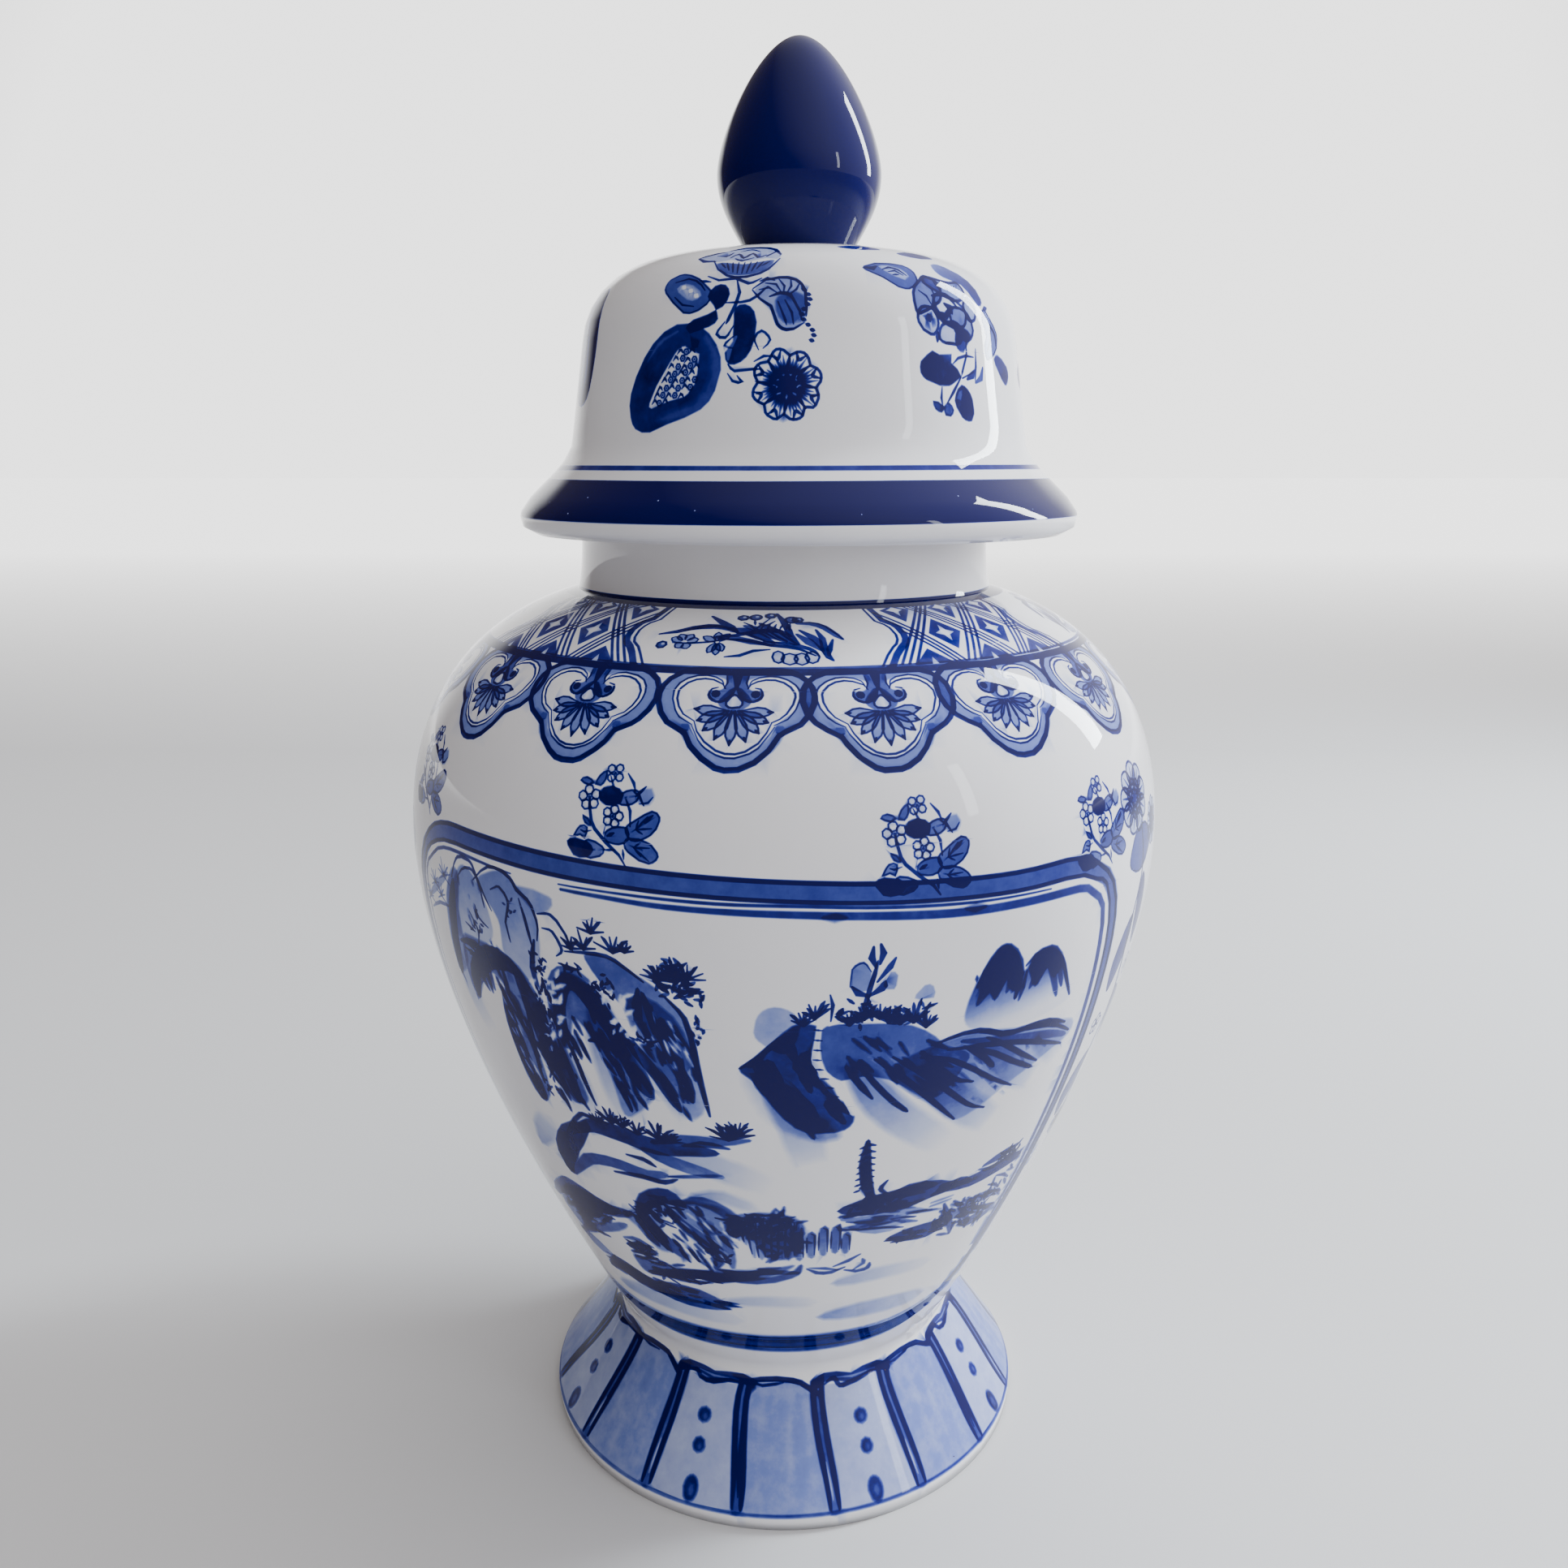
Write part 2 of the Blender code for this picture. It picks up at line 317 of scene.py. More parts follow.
    def ring(self, up, width, ink, soft=0.35, wander=0.3):
        """A line banded round the wall on the wheel, a little uneven where the brush was reloaded."""
        turns = np.arange(-self.SIDE * 2, 360 + self.SIDE * 2 + 1, 2.0) + self.seam
        phase = self.hand.uniform(0, math.tau)
        angle = np.radians(turns)
        ups = up + wander * (np.sin(angle + phase) + 0.4 * np.sin(3 * angle + 2 * phase))
        half = width / 2 + 0.12 * wander * np.sin(5 * angle + phase)
        for side in (half + soft / 2, half - soft / 2, soft / 2 - half, -half - soft / 2):
            self.outline(np.stack([turns, ups + side], 1), False)
        line = np.stack([turns, ups], 1)
        self.marks.append(
            {"kind": "ring", "line": line, "half": half, "ink": ink, "soft": soft, "lift": 0.0}
        )

    def ink(self, turns, ups):
        """Depth of cobalt at each point, with the marks laid one over another in order."""
        order = np.argsort(turns)
        turns, ups = turns[order], ups[order]
        scale = np.radians(self.wall.radius(ups))
        depth = np.zeros(len(turns))
        for mark in self.marks:
            line = mark["line"]
            reach = mark["soft"] + np.max(mark.get("half", 0))
            up_low, up_high = line[:, 1].min() - reach, line[:, 1].max() + reach
            side = max(self.degrees(reach, up_low), self.degrees(reach, up_high))
            low = np.searchsorted(turns, line[:, 0].min() - side)
            high = np.searchsorted(turns, line[:, 0].max() + side)
            near = np.arange(low, high)
            near = near[(ups[low:high] > up_low) & (ups[low:high] < up_high)]
            if not len(near):
                continue
            cover, ink = mark_cover(turns[near], ups[near], scale[near], mark, side)
            if mark["lift"]:
                depth[near] *= 1 - cover * mark["lift"]
            else:
                depth[near] += cover * ink
        result = np.zeros(len(order))
        result[order] = depth
        return result

    def cut(self, low, high):
        """Triangles of the wall from low to high with the marks' edges in them."""
        points = np.array(self.points)
        edges = np.array(self.edges)
        bottom, top = low + self.MARGIN, high - self.MARGIN
        ends = points[edges]
        beyond = (ends[:, :, 1].min(1) > top) | (ends[:, :, 1].max(1) < bottom)
        edges, ends = edges[~beyond], ends[~beyond]
        crosses = (ends[:, :, 1].min(1) < bottom) | (ends[:, :, 1].max(1) > top)
        across = ends[crosses]
        trimmed = np.clip(across[:, :, 1], bottom, top)
        rise = across[:, 1, 1] - across[:, 0, 1]
        share = (trimmed - across[:, :1, 1]) / np.where(rise == 0, 1, rise)[:, None]
        run = across[:, 1:, 0] - across[:, :1, 0]
        trimmed = np.stack([across[:, :1, 0] + share * run, trimmed], 2).reshape(-1, 2)
        edges = edges[~crosses]
        extra = np.arange(len(trimmed)).reshape(-1, 2) + len(points)
        loose = np.setdiff1d(np.arange(len(points)), np.array(self.edges))
        loose = loose[(points[loose, 1] > bottom) & (points[loose, 1] < top)]
        points = np.vstack([points, trimmed])
        edges = np.vstack([edges, extra])
        used, edges = np.unique(edges, return_inverse=True)
        edges = edges.reshape(-1, 2)
        points = np.vstack([points[used], points[loose]])

        turns = np.arange(-2, 360 // GRID_TURN + 3) * GRID_TURN + self.seam
        rows = np.linspace(low, high, int((high - low) / GRID_UP) + 1)
        seams = (self.seam, self.seam + 360)
        chains = [[(turn, up) for turn in turns] for up in (low, high)]
        chains += [[(turn, up) for up in rows] for turn in (*seams, turns[0], turns[-1])]
        more = []
        more_edges = []
        for chain in chains:
            first = len(points) + len(more)
            more.extend(chain)
            more_edges.extend((first + i, first + i + 1) for i in range(len(chain) - 1))
        more.extend((turn, up) for turn in turns for up in rows[1:-1])
        flat = np.vstack([points, more]) * (self.SPREAD, 1)
        flat[:, 0] = np.clip(flat[:, 0], turns[0] * self.SPREAD, turns[-1] * self.SPREAD)
        edges = [tuple(pair) for pair in edges.tolist()] + more_edges
        given = [Vector(place) for place in flat.tolist()]
        places, _, faces, _, _, _ = delaunay_2d_cdt(given, edges, [], 0, 1e-4, False)
        places = np.array(places) / (self.SPREAD, 1)
        faces = np.array([face for face in faces if len(face) == 3])
        middles = places[faces][:, :, 0].mean(1)
        faces = faces[(middles > seams[0]) & (middles < seams[1])]
        used, faces = np.unique(faces, return_inverse=True)
        turns, ups = places[used].T
        return turns, ups, faces.reshape(-1, 3)


def inside(points, outline):
    """Which points lie inside a closed outline, by counting crossings to the right."""
    x, y = points[:, 0], points[:, 1]
    result = np.zeros(len(points), bool)
    for (x0, y0), (x1, y1) in zip(outline, np.roll(outline, -1, 0)):
        crosses = (y0 > y) != (y1 > y)
        rise = y1 - y0 if y1 != y0 else 1e-12
        result ^= crosses & (x < (x1 - x0) * (y - y0) / rise + x0)
    return result


def line_gaps(turns, ups, scale, mark, side):
    """Distance in mm from each point to a line, less the line's half width, and its ink there."""
    line = mark["line"]
    half = mark.get("half", np.zeros(len(line)))
    inks = mark.get("inks", half)
    best = np.full(len(turns), 1e9)
    ink = np.zeros(len(turns))
    ends = np.roll(np.arange(len(line)), -1)
    count = len(line) if mark.get("closed", True) else len(line) - 1
    left = np.searchsorted(turns, np.minimum(line[:, 0], line[ends, 0]) - side)
    right = np.searchsorted(turns, np.maximum(line[:, 0], line[ends, 0]) + side)
    for i in range(count):
        j = ends[i]
        part = slice(left[i], right[i])
        dx = (line[j, 0] - line[i, 0]) * scale[part]
        dy = line[j, 1] - line[i, 1]
        px = (turns[part] - line[i, 0]) * scale[part]
        py = ups[part] - line[i, 1]
        t = np.clip((px * dx + py * dy) / np.maximum(dx * dx + dy * dy, 1e-9), 0, 1)
        gap = np.hypot(px - t * dx, py - t * dy) - (half[i] + (half[j] - half[i]) * t)
        closer = gap < best[part]
        best[part] = np.where(closer, gap, best[part])
        ink[part] = np.where(closer, inks[i] + (inks[j] - inks[i]) * t, ink[part])
    return best, ink


def mark_cover(turns, ups, scale, mark, side):
    """How fully one mark covers each point, 0 to 1, and its ink there."""
    line = mark["line"]
    if mark["kind"] == "ring":
        away = np.abs(ups - np.interp(turns, line[:, 0], line[:, 1]))
        gap = away - np.interp(turns, line[:, 0], mark["half"])
        return np.clip(0.5 - gap / mark["soft"], 0, 1), np.full(len(turns), float(mark["ink"]))
    gap, ink = line_gaps(turns, ups, scale, mark, side)
    if mark["kind"] == "brush":
        return np.clip(0.5 - gap / mark["soft"], 0, 1), ink
    within = inside(np.stack([turns, ups], 1), line)
    cover = np.clip(0.5 + np.where(within, gap, -gap) / mark["soft"], 0, 1)
    ink = np.full(len(turns), float(mark["ink"]))
    if mark["fade"] is not None:
        start, end = mark["fade"]
        dx, dy = (end[0] - start[0]) * scale, end[1] - start[1]
        px, py = (turns - start[0]) * scale, ups - start[1]
        t = np.clip((px * dx + py * dy) / (dx * dx + dy * dy), 0, 1)
        ink = mark["ink"] + (mark["end_ink"] - mark["ink"]) * t * t * (3 - 2 * t)
    return cover, ink


# ------------------------------------------------------------------------------- closed pieces
# A piece is spun from its section, or is a painted outer face sewn to a spun back, so that it is
# closed and has its own thickness. OFBake is its flat map.

GRID_TURN = 2
GRID_UP = 5.0
SAME_SPOT = 1e-6
SAME_RIM = 4e-6
BACK_SHARE = 0.18
FACE_START = 0.2
SHARP_BACK = math.radians(35)
SHARP_SECTION = math.radians(40)


def spin_section(work, chains, centre_x):
    """Turns open chains of (radius, height) in mm all the way round."""
    share_layer = work.verts.layers.float.new("share")
    verts = []
    edges = []
    total = sum(len(chain) for chain in chains)
    for chain in chains:
        run = [work.verts.new((radius * MM, 0, height * MM)) for radius, height in chain]
        edges += [work.edges.new(pair) for pair in zip(run, run[1:])]
        verts += run
    for number, vert in enumerate(verts):
        vert[share_layer] = number / (total - 1)
    bmesh.ops.spin(
        work,
        geom=verts + edges,
        cent=(0, 0, 0),
        axis=(0, 0, 1),
        dvec=(0, 0, 0),
        angle=math.tau,
        steps=ROUND_STEPS,
        use_merge=True,
        use_duplicate=False,
    )
    uv_layer = work.loops.layers.uv.new("OFBake")
    for face in work.faces:
        middle = face.calc_center_median()
        middle_turn = math.atan2(middle.x, -middle.y)
        for loop in face.loops:
            x, y, _ = loop.vert.co
            turn = math.atan2(x, -y) if math.hypot(x, y) > SAME_SPOT else middle_turn
            turn += math.tau * round((middle_turn - turn) / math.tau)
            loop[uv_layer].uv = (0.5 + turn / math.tau, loop.vert[share_layer])
    bmesh.ops.remove_doubles(work, verts=work.verts, dist=SAME_SPOT)
    bmesh.ops.translate(work, verts=work.verts, vec=(centre_x * MM, 0, 0))


def painted_wall(name, painting, low, high, back):
    """One closed piece: the painted outer face from low to high, and back, which closes it."""
    wall = painting.wall
    turns, ups, faces = painting.cut(low, high)
    outer = bpy.data.meshes.new(name)
    outer.from_pydata(wall.place(turns, ups).tolist(), [], faces.tolist())
    outer.attributes.new("ink", "FLOAT", "POINT").data.foreach_set(
        "value", painting.ink(turns, ups).astype(np.float32)
    )
    outer.attributes.new("outward", "FLOAT_VECTOR", "POINT").data.foreach_set(
        "vector", wall.normal(turns, ups).astype(np.float32).ravel()
    )
    outer.attributes.new("painted", "INT", "FACE").data.foreach_set(
        "value", np.ones(len(faces), np.int32)
    )
    u = (turns - painting.seam) / 360
    v = FACE_START + 0.8 * (ups - low) / (high - low)
    outer.uv_layers.new(name="OFBake").data.foreach_set(
        "uv", np.stack([u, v], 1)[faces.ravel()].astype(np.float32).ravel()
    )
    work = bmesh.new()
    spin_section(work, back, wall.centre_x)
    uv_layer = work.loops.layers.uv["OFBake"]
    for face in work.faces:
        for loop in face.loops:
            loop[uv_layer].uv.y *= BACK_SHARE
    back_count = len(work.verts)
    work.from_mesh(outer)
    rim = [vert for vert in work.verts if vert.is_boundary]
    work.verts.index_update()
    back_rim = [vert for vert in rim if vert.index < back_count]
    painted_rim = [vert for vert in rim if vert.index >= back_count]
    tree = KDTree(len(painted_rim))
    for number, vert in enumerate(painted_rim):
        tree.insert(vert.co, number)
    tree.balance()
    # Each rim point of the back is welded on the painted one, which keeps its ink.
    matches = {vert: painted_rim[tree.find(vert.co)[1]] for vert in back_rim}
    bmesh.ops.weld_verts(work, targetmap=matches)
    still_open = [vert for vert in work.verts if vert.is_boundary]
    bmesh.ops.remove_doubles(work, verts=still_open, dist=SAME_RIM)
    bmesh.ops.holes_fill(work, edges=[edge for edge in work.edges if edge.is_boundary], sides=6)
    bmesh.ops.recalc_face_normals(work, faces=work.faces)
    work.to_mesh(outer)
    work.free()
    finish_normals(outer)
    piece = bpy.data.objects.new(name, outer)
    bpy.context.scene.collection.objects.link(piece)
    return piece


def finish_normals(mesh):
    """Smooth glaze over the cut-in marks: the painted face takes the wall's own normals."""
    mesh.shade_smooth()
    mesh.set_sharp_from_angle(angle=SHARP_BACK)
    outward = np.zeros(len(mesh.vertices) * 3, np.float32)
    mesh.attributes["outward"].data.foreach_get("vector", outward)
    outward = outward.reshape(-1, 3)
    corners = np.zeros(len(mesh.loops), np.int32)
    mesh.loops.foreach_get("vertex_index", corners)
    painted = np.zeros(len(mesh.polygons), np.int32)
    mesh.attributes["painted"].data.foreach_get("value", painted)
    sizes = np.zeros(len(mesh.polygons), np.int32)
    mesh.polygons.foreach_get("loop_total", sizes)
    normals = outward[corners] * np.repeat(painted, sizes)[:, None]
    mesh.normals_split_custom_set(normals.tolist())
    mesh.attributes.remove(mesh.attributes["outward"])
    mesh.attributes.remove(mesh.attributes["painted"])


def turned_piece(name, chain, centre_x=0.0):
    """A piece spun from one section: a closed loop, or a chain with both ends on the axis."""
    work = bmesh.new()
    spin_section(work, [chain], centre_x)
    bmesh.ops.recalc_face_normals(work, faces=work.faces)
    mesh = bpy.data.meshes.new(name)
    work.to_mesh(mesh)
    work.free()
    mesh.shade_smooth()
    mesh.set_sharp_from_angle(angle=SHARP_SECTION)
    piece = bpy.data.objects.new(name, mesh)
    bpy.context.scene.collection.objects.link(piece)
    return piece


# ------------------------------------------------------------------------------- glaze
# One recipe of cobalt under a clear, slightly wavy glaze serves the whole jar. How much cobalt a
# spot has comes from the brushwork, from one dipped coat, or from a line that it stays below.


class Value:
    """A shader socket that takes part in plain arithmetic, adding Math nodes as it goes."""

    def __init__(self, tree, socket):
        self.tree = tree
        self.socket = socket

    def node(self, kind, settings=None, out=0, **inputs):
        """Any other node: settings first, then its inputs by name (spaces as underscores)."""
        node = self.tree.nodes.new(kind)
        for key, value in (settings or {}).items():
            if key == "stops":
                set_stops(node.color_ramp, value)
            else:
                setattr(node, key, value)
        for key, value in inputs.items():
            slot = int(key[1:]) if key[0] == "i" and key[1:].isdigit() else key.replace("_", " ")
            if isinstance(value, Value):
                self.tree.links.new(value.socket, node.inputs[slot])
            else:
                node.inputs[slot].default_value = value
        return Value(self.tree, node.outputs[out])

    def math(self, operation, first, second=0.0, clamp=False):
        settings = {"operation": operation, "use_clamp": clamp}
        return self.node("ShaderNodeMath", settings, i0=first, i1=second)

    def __add__(self, other):
        return self.math("ADD", self, other)

    def __radd__(self, other):
        return self.math("ADD", other, self)

    def __sub__(self, other):
        return self.math("SUBTRACT", self, other)

    def __rsub__(self, other):
        return self.math("SUBTRACT", other, self)

    def __mul__(self, other):
        return self.math("MULTIPLY", self, other)

    def __rmul__(self, other):
        return self.math("MULTIPLY", other, self)

    def __gt__(self, other):
        return self.math("GREATER_THAN", self, other)

    def clamped(self):
        return self.math("ADD", self, 0.0, clamp=True)


def set_stops(ramp, stops):
    while len(ramp.elements) < len(stops):
        ramp.elements.new(0.5)
    for element, (position, colour) in zip(ramp.elements, stops):
        element.position = position
        element.color = (*colour, 1.0)


GLAZE_WHITE = (0.71, 0.71, 0.745)
COBALT_STOPS = [
    (0.0, GLAZE_WHITE),
    (0.10, (0.42, 0.47, 0.66)),
    (0.28, (0.135, 0.185, 0.47)),
    (0.50, (0.034, 0.052, 0.27)),
    (0.75, (0.004, 0.008, 0.155)),
    (1.0, (0.0008, 0.0012, 0.062)),
]
IRON_SPECK = (0.06, 0.035, 0.025, 1.0)
WARM_TINT = (1.0, 0.975, 0.93, 1.0)


def noise(value, here, scale, detail, rough=0.5):
    options = {"Scale": scale, "Detail": detail, "Roughness": rough}
    return value.node("ShaderNodeTexNoise", Vector=here, **options)


def glaze_material(name, roughness, plain_ink=None, ink_below=None):
    """White body, cobalt by depth, and a clear wavy glaze that pools, pits and wears a little."""
    material = bpy.data.materials.new(name)
    material.use_nodes = True
    tree = material.node_tree
    shader = tree.nodes["Principled BSDF"]
    start = Value(tree, shader.outputs[0])
    here = start.node("ShaderNodeTexCoord", out=3)
    cloud = noise(start, here, 38.0, 3.0, 0.55)
    grain = noise(start, here, 620.0, 4.0, 0.6)
    pool = noise(start, here, 190.0, 3.0)
    if plain_ink is not None:
        ink = plain_ink
    elif ink_below is not None:
        height = start.node("ShaderNodeSeparateXYZ", out=2, Vector=here)
        ink = ((ink_below - height + 0.0003 * (cloud - 0.5)) * 3000).clamped() * 1.5
    else:
        ink = start.node("ShaderNodeAttribute", {"attribute_name": "ink"}, out=2)
    uneven = 0.62 + 0.34 * cloud + 0.52 * pool + 0.22 * (grain - 0.5)
    depth = (ink * uneven * 0.75 + 0.02 * (cloud - 0.5)).clamped()
    colour = start.node("ShaderNodeValToRGB", {"stops": COBALT_STOPS}, Fac=depth)
    cells = start.node("ShaderNodeTexVoronoi", Vector=here, Scale=62.0)
    pick = noise(start, here, 23.0, 1.0)
    speck = ((cells * -1 + 0.028) > 0.0) * (pick > 0.60)
    dots = start.node(
        "ShaderNodeMix", {"data_type": "RGBA"}, out=2, i0=speck * 0.8, i6=colour, i7=IRON_SPECK
    )
    tint = noise(start, here, 9.0, 2.0)
    warm = start.node(
        "ShaderNodeMix",
        {"data_type": "RGBA", "blend_type": "MULTIPLY"},
        out=2,
        i0=(tint * 1.2 - 0.35).clamped() * 0.55,
        i6=dots,
        i7=WARM_TINT,
    )
    tree.links.new(warm.socket, shader.inputs["Base Color"])
    rough = roughness + 0.06 * cloud + 0.10 * speck
    tree.links.new(rough.socket, shader.inputs["Roughness"])
    tree.links.new((1.0 - 0.5 * speck).socket, shader.inputs["Coat Weight"])
    shader.inputs["Coat Roughness"].default_value = 0.025
    shader.inputs["Coat IOR"].default_value = 1.25
    shader.inputs["Specular IOR Level"].default_value = 0.0
    wave = noise(start, here, 26.0, 2.0, 0.4)
    peel = noise(start, here, 240.0, 2.0)
    relief = wave + 0.10 * peel + 0.12 * speck
    bump = start.node("ShaderNodeBump", Height=relief, Strength=0.35, Distance=0.0012)
    tree.links.new(bump.socket, shader.inputs["Normal"])
    return material


# ------------------------------------------------------------------------------- belly and shoulder
# The pot's body is one thrown porcelain wall, white under a clear glaze: a narrow waist, a belly
# that swells high up, and a sloping shoulder under the neck. Its painting follows below.

WAIST_RADIUS = 61.2
WAIST_HEIGHT = 40.0
WAIST_FILLET = 8.0
BODY_FLARE = math.radians(29.0)
FLARE_PULL = 33.1
BELLY_RADIUS = 122.8
BELLY_HEIGHT = 217.1
BELLY_PULL_DOWN = 56.0
BELLY_PULL_UP = 34.8
NECK_ROOT_RADIUS = 67.2
NECK_ROOT_HEIGHT = 293.5
SHOULDER_SLOPE = math.radians(15.0)
SHOULDER_PULL = 42.2
BODY_WALL = 5.5
NECK_WALL = 5.0
FLOOR_HEIGHT = 47.0
waist_centre = (WAIST_RADIUS + WAIST_FILLET, WAIST_HEIGHT)
waist_above = arc(waist_centre, WAIST_FILLET, math.pi, math.pi - BODY_FLARE, 12)
flare = np.array((math.sin(BODY_FLARE), math.cos(BODY_FLARE)))
under_belly = bezier(
    waist_above[-1],
    waist_above[-1] + flare * FLARE_PULL,
    (BELLY_RADIUS, BELLY_HEIGHT - BELLY_PULL_DOWN),
    (BELLY_RADIUS, BELLY_HEIGHT),
)
over_belly = bezier(
    (BELLY_RADIUS, BELLY_HEIGHT),
    (BELLY_RADIUS, BELLY_HEIGHT + BELLY_PULL_UP),
    (
        NECK_ROOT_RADIUS + SHOULDER_PULL * math.cos(SHOULDER_SLOPE),
        NECK_ROOT_HEIGHT - SHOULDER_PULL * math.sin(SHOULDER_SLOPE),
    ),
    (NECK_ROOT_RADIUS, NECK_ROOT_HEIGHT),
)
body_wall = Wall(waist_above, under_belly, over_belly)
body = Painting(body_wall, seam=SEAM_TURN, seed=11)

# ------------------------------------------------------------------------------- the painter's hand
# What the painter repeats all over the jar: tufts, leaves, petals, blossoms and short dabs. Each
# is drawn about a spot of its own, so that it can be sized, mirrored and carried round the jar.


class Motif:
    """Draws in mm about a spot on the wall, sized and mirrored as one."""

    def __init__(self, painting, turn, up, size=1.0, mirror=1):
        self.painting = painting
        self.turn = turn
        self.up = up
        self.size = size
        self.mirror = mirror

    def at(self, points):
        spots = []
        for x, y in points:
            up = self.up + self.size * y
            across = self.size * (x * self.mirror)
            spots.append((self.turn + self.painting.degrees(across, up), up))
        return spots

    def mm_per_unit(self, up):
        """How wide one unit across is: a motif is drawn in mm."""
        return 1.0

    def brush(self, path, width, ink=1.0, **options):
        self.painting.brush(self.at(path), width * self.size, ink, **options)

    def wash(self, outline, ink, fade=None, **options):
        if fade:
            options["fade_from"], options["fade_to"] = self.at(fade)
        self.painting.wash(self.at(outline), ink, **options)

    def dot(self, x, y, radius, ink, **options):
        self.wash(circle(x, y, radius, radius), ink, step=0.9, soft=0.25, **options)


class Scene(Motif):
    """Draws in turns and ups read straight off the wall, moved or mirrored round it as one."""

    def __init__(self, painting, drawn_about, turn, mirror=1):
        super().__init__(painting, turn, 0.0, 1.0, mirror)
        self.drawn_about = drawn_about

    def at(self, points):
        return [(self.turn + self.mirror * (turn - self.drawn_about), up) for turn, up in points]

    def mm_per_unit(self, up):
        """How wide one unit across is: a scene is drawn in degrees round the wall."""
        return math.radians(self.painting.wall.radius(up))


def polar(reach, angle):
    return (reach * math.cos(angle), reach * math.sin(angle))


def mirrored(half):
    """An outline from left to right, given its right half from the middle out."""
    return [(-x, y) for x, y in reversed(half) if x] + half


def circle(x, y, radius_x, radius_y, count=8, start=0.0):
    angles = [start + math.tau * k / count for k in range(count)]
    return [(x + radius_x * math.cos(a), y + radius_y * math.sin(a)) for a in angles]


def strokes(motif, rows, **options):
    """Each row is one brush stroke: width, ink, the ink at its end if that differs, its points."""
    for width, ink, *end_ink, path in rows:
        motif.brush(path, width, ink, end_ink=end_ink[0] if end_ink else None, **options)


def tuft(motif, x, y, size, count=7, ink=1.1, spread=70, width=0.8):
    """Grass or pine needles fanned up from one spot."""
    hand = motif.painting.hand
    stretch = 1 / motif.mm_per_unit(y)
    for k in range(count):
        angle = math.radians(90 - spread + 2 * spread * k / max(count - 1, 1) + hand.uniform(-8, 8))
        length = size * hand.uniform(0.7, 1.1)
        tip = (x + length * math.cos(angle) * stretch, y + length * math.sin(angle))
        bend = (x + 0.5 * length * math.cos(angle) * stretch, y + 0.62 * length * math.sin(angle))
        motif.brush([(x, y), bend, tip], width, ink, tips=(0.9, 0.4))


def leafage(motif, x, y, reach_x, reach_y, count, leaf=1.6, ink=1.0):
    """A crown of short dabs, as the painter fills a tree."""
    hand = motif.painting.hand
    for _ in range(count):
        angle = hand.uniform(0, math.tau)
        share = math.sqrt(hand.random())
        spot = (x + reach_x * share * math.cos(angle), y + reach_y * share * math.sin(angle))
        turn = hand.uniform(0, math.tau)
        squeeze = reach_x / reach_y
        end = (spot[0] + leaf * squeeze * math.cos(turn), spot[1] + leaf * math.sin(turn))
        motif.brush([spot, end], leaf * 0.55, ink * hand.uniform(0.8, 1.15), tips=(0.6, 0.5))


def crowns(motif, rows):
    """Each row is one crown: its middle, its reach both ways, how many dabs, how long, their ink."""
    for row in rows:
        leafage(motif, *row)


def dabs(motif, outline, count, length, lean, ink, width=0.9, lift=0.0, stray=16):
    """Short strokes scattered inside an outline and leaning one way, as the painter textures rock."""
    hand = motif.painting.hand
    edge = np.array(outline, float)
    low, high = edge.min(0), edge.max(0)
    spots = np.array([
        (hand.uniform(low[0], high[0]), hand.uniform(low[1], high[1])) for _ in range(count * 3)
    ])
    for x, y in spots[inside(spots, edge)][:count]:
        angle = math.radians(lean + hand.uniform(-stray, stray))
        reach = length * hand.uniform(0.6, 1.2)
        tip = (x + reach * math.cos(angle) / motif.mm_per_unit(y), y + reach * math.sin(angle))
        motif.brush([(x, y), tip], width * 1.4, ink * hand.uniform(0.6, 1.0), soft=0.9, tips=(0.7, 0.35),
                    lift=lift)


def petal(motif, base, tip, width, ink, line=0.45):
    """A pointed petal from base to tip: a pale wash and its outline."""
    dx, dy = tip[0] - base[0], tip[1] - base[1]
    nx, ny = -dy, dx
    length = math.hypot(nx, ny)
    nx, ny = nx / length * width / 2, ny / length * width / 2
    spread = ((0.0, 0.35), (0.3, 0.85), (0.62, 1.0), (0.86, 0.55))
    left = [(base[0] + dx * t + nx * w, base[1] + dy * t + ny * w) for t, w in spread]
    right = [(base[0] + dx * t - nx * w, base[1] + dy * t - ny * w) for t, w in spread]
    motif.wash(left + [tip] + right[::-1], ink, soft=0.3, step=1.1)
    for side in (left, right):
        motif.brush(side + [tip], line, 1.05, tips=(0.6, 0.8), step=1.1)


def blossom(motif, x, y, reach, petals=5, start=0.5):
    """A small plum blossom: white round petals ringed in cobalt about a dot."""
    for k in range(petals):
        angle = start + math.tau * k / petals
        px, py = x + reach * 0.62 * math.cos(angle), y + reach * 0.62 * math.sin(angle)
        motif.brush(circle(px, py, reach * 0.4, reach * 0.4, 7), 0.5, 1.05, closed=True, step=0.8)
    motif.dot(x, y, reach * 0.16, 1.1)


def leaf(motif, outline, ink, vein=None):
    """A filled leaf with its outline, and a vein if one is given."""
    motif.wash(outline, ink, soft=0.4)
    motif.brush(outline, 0.5, 1.1 - ink * 0.4, closed=True)
    if vein:
        motif.brush(vein, 0.4, 0.9)


# ------------------------------------------------------------------------------- shoulder frieze
# A fringe of cloud-headed lappets hangs from a band of white cartouches and lattice panels. The
# lattice is trimmed to its bracketed panel, and every cartouche holds one orchid spray.


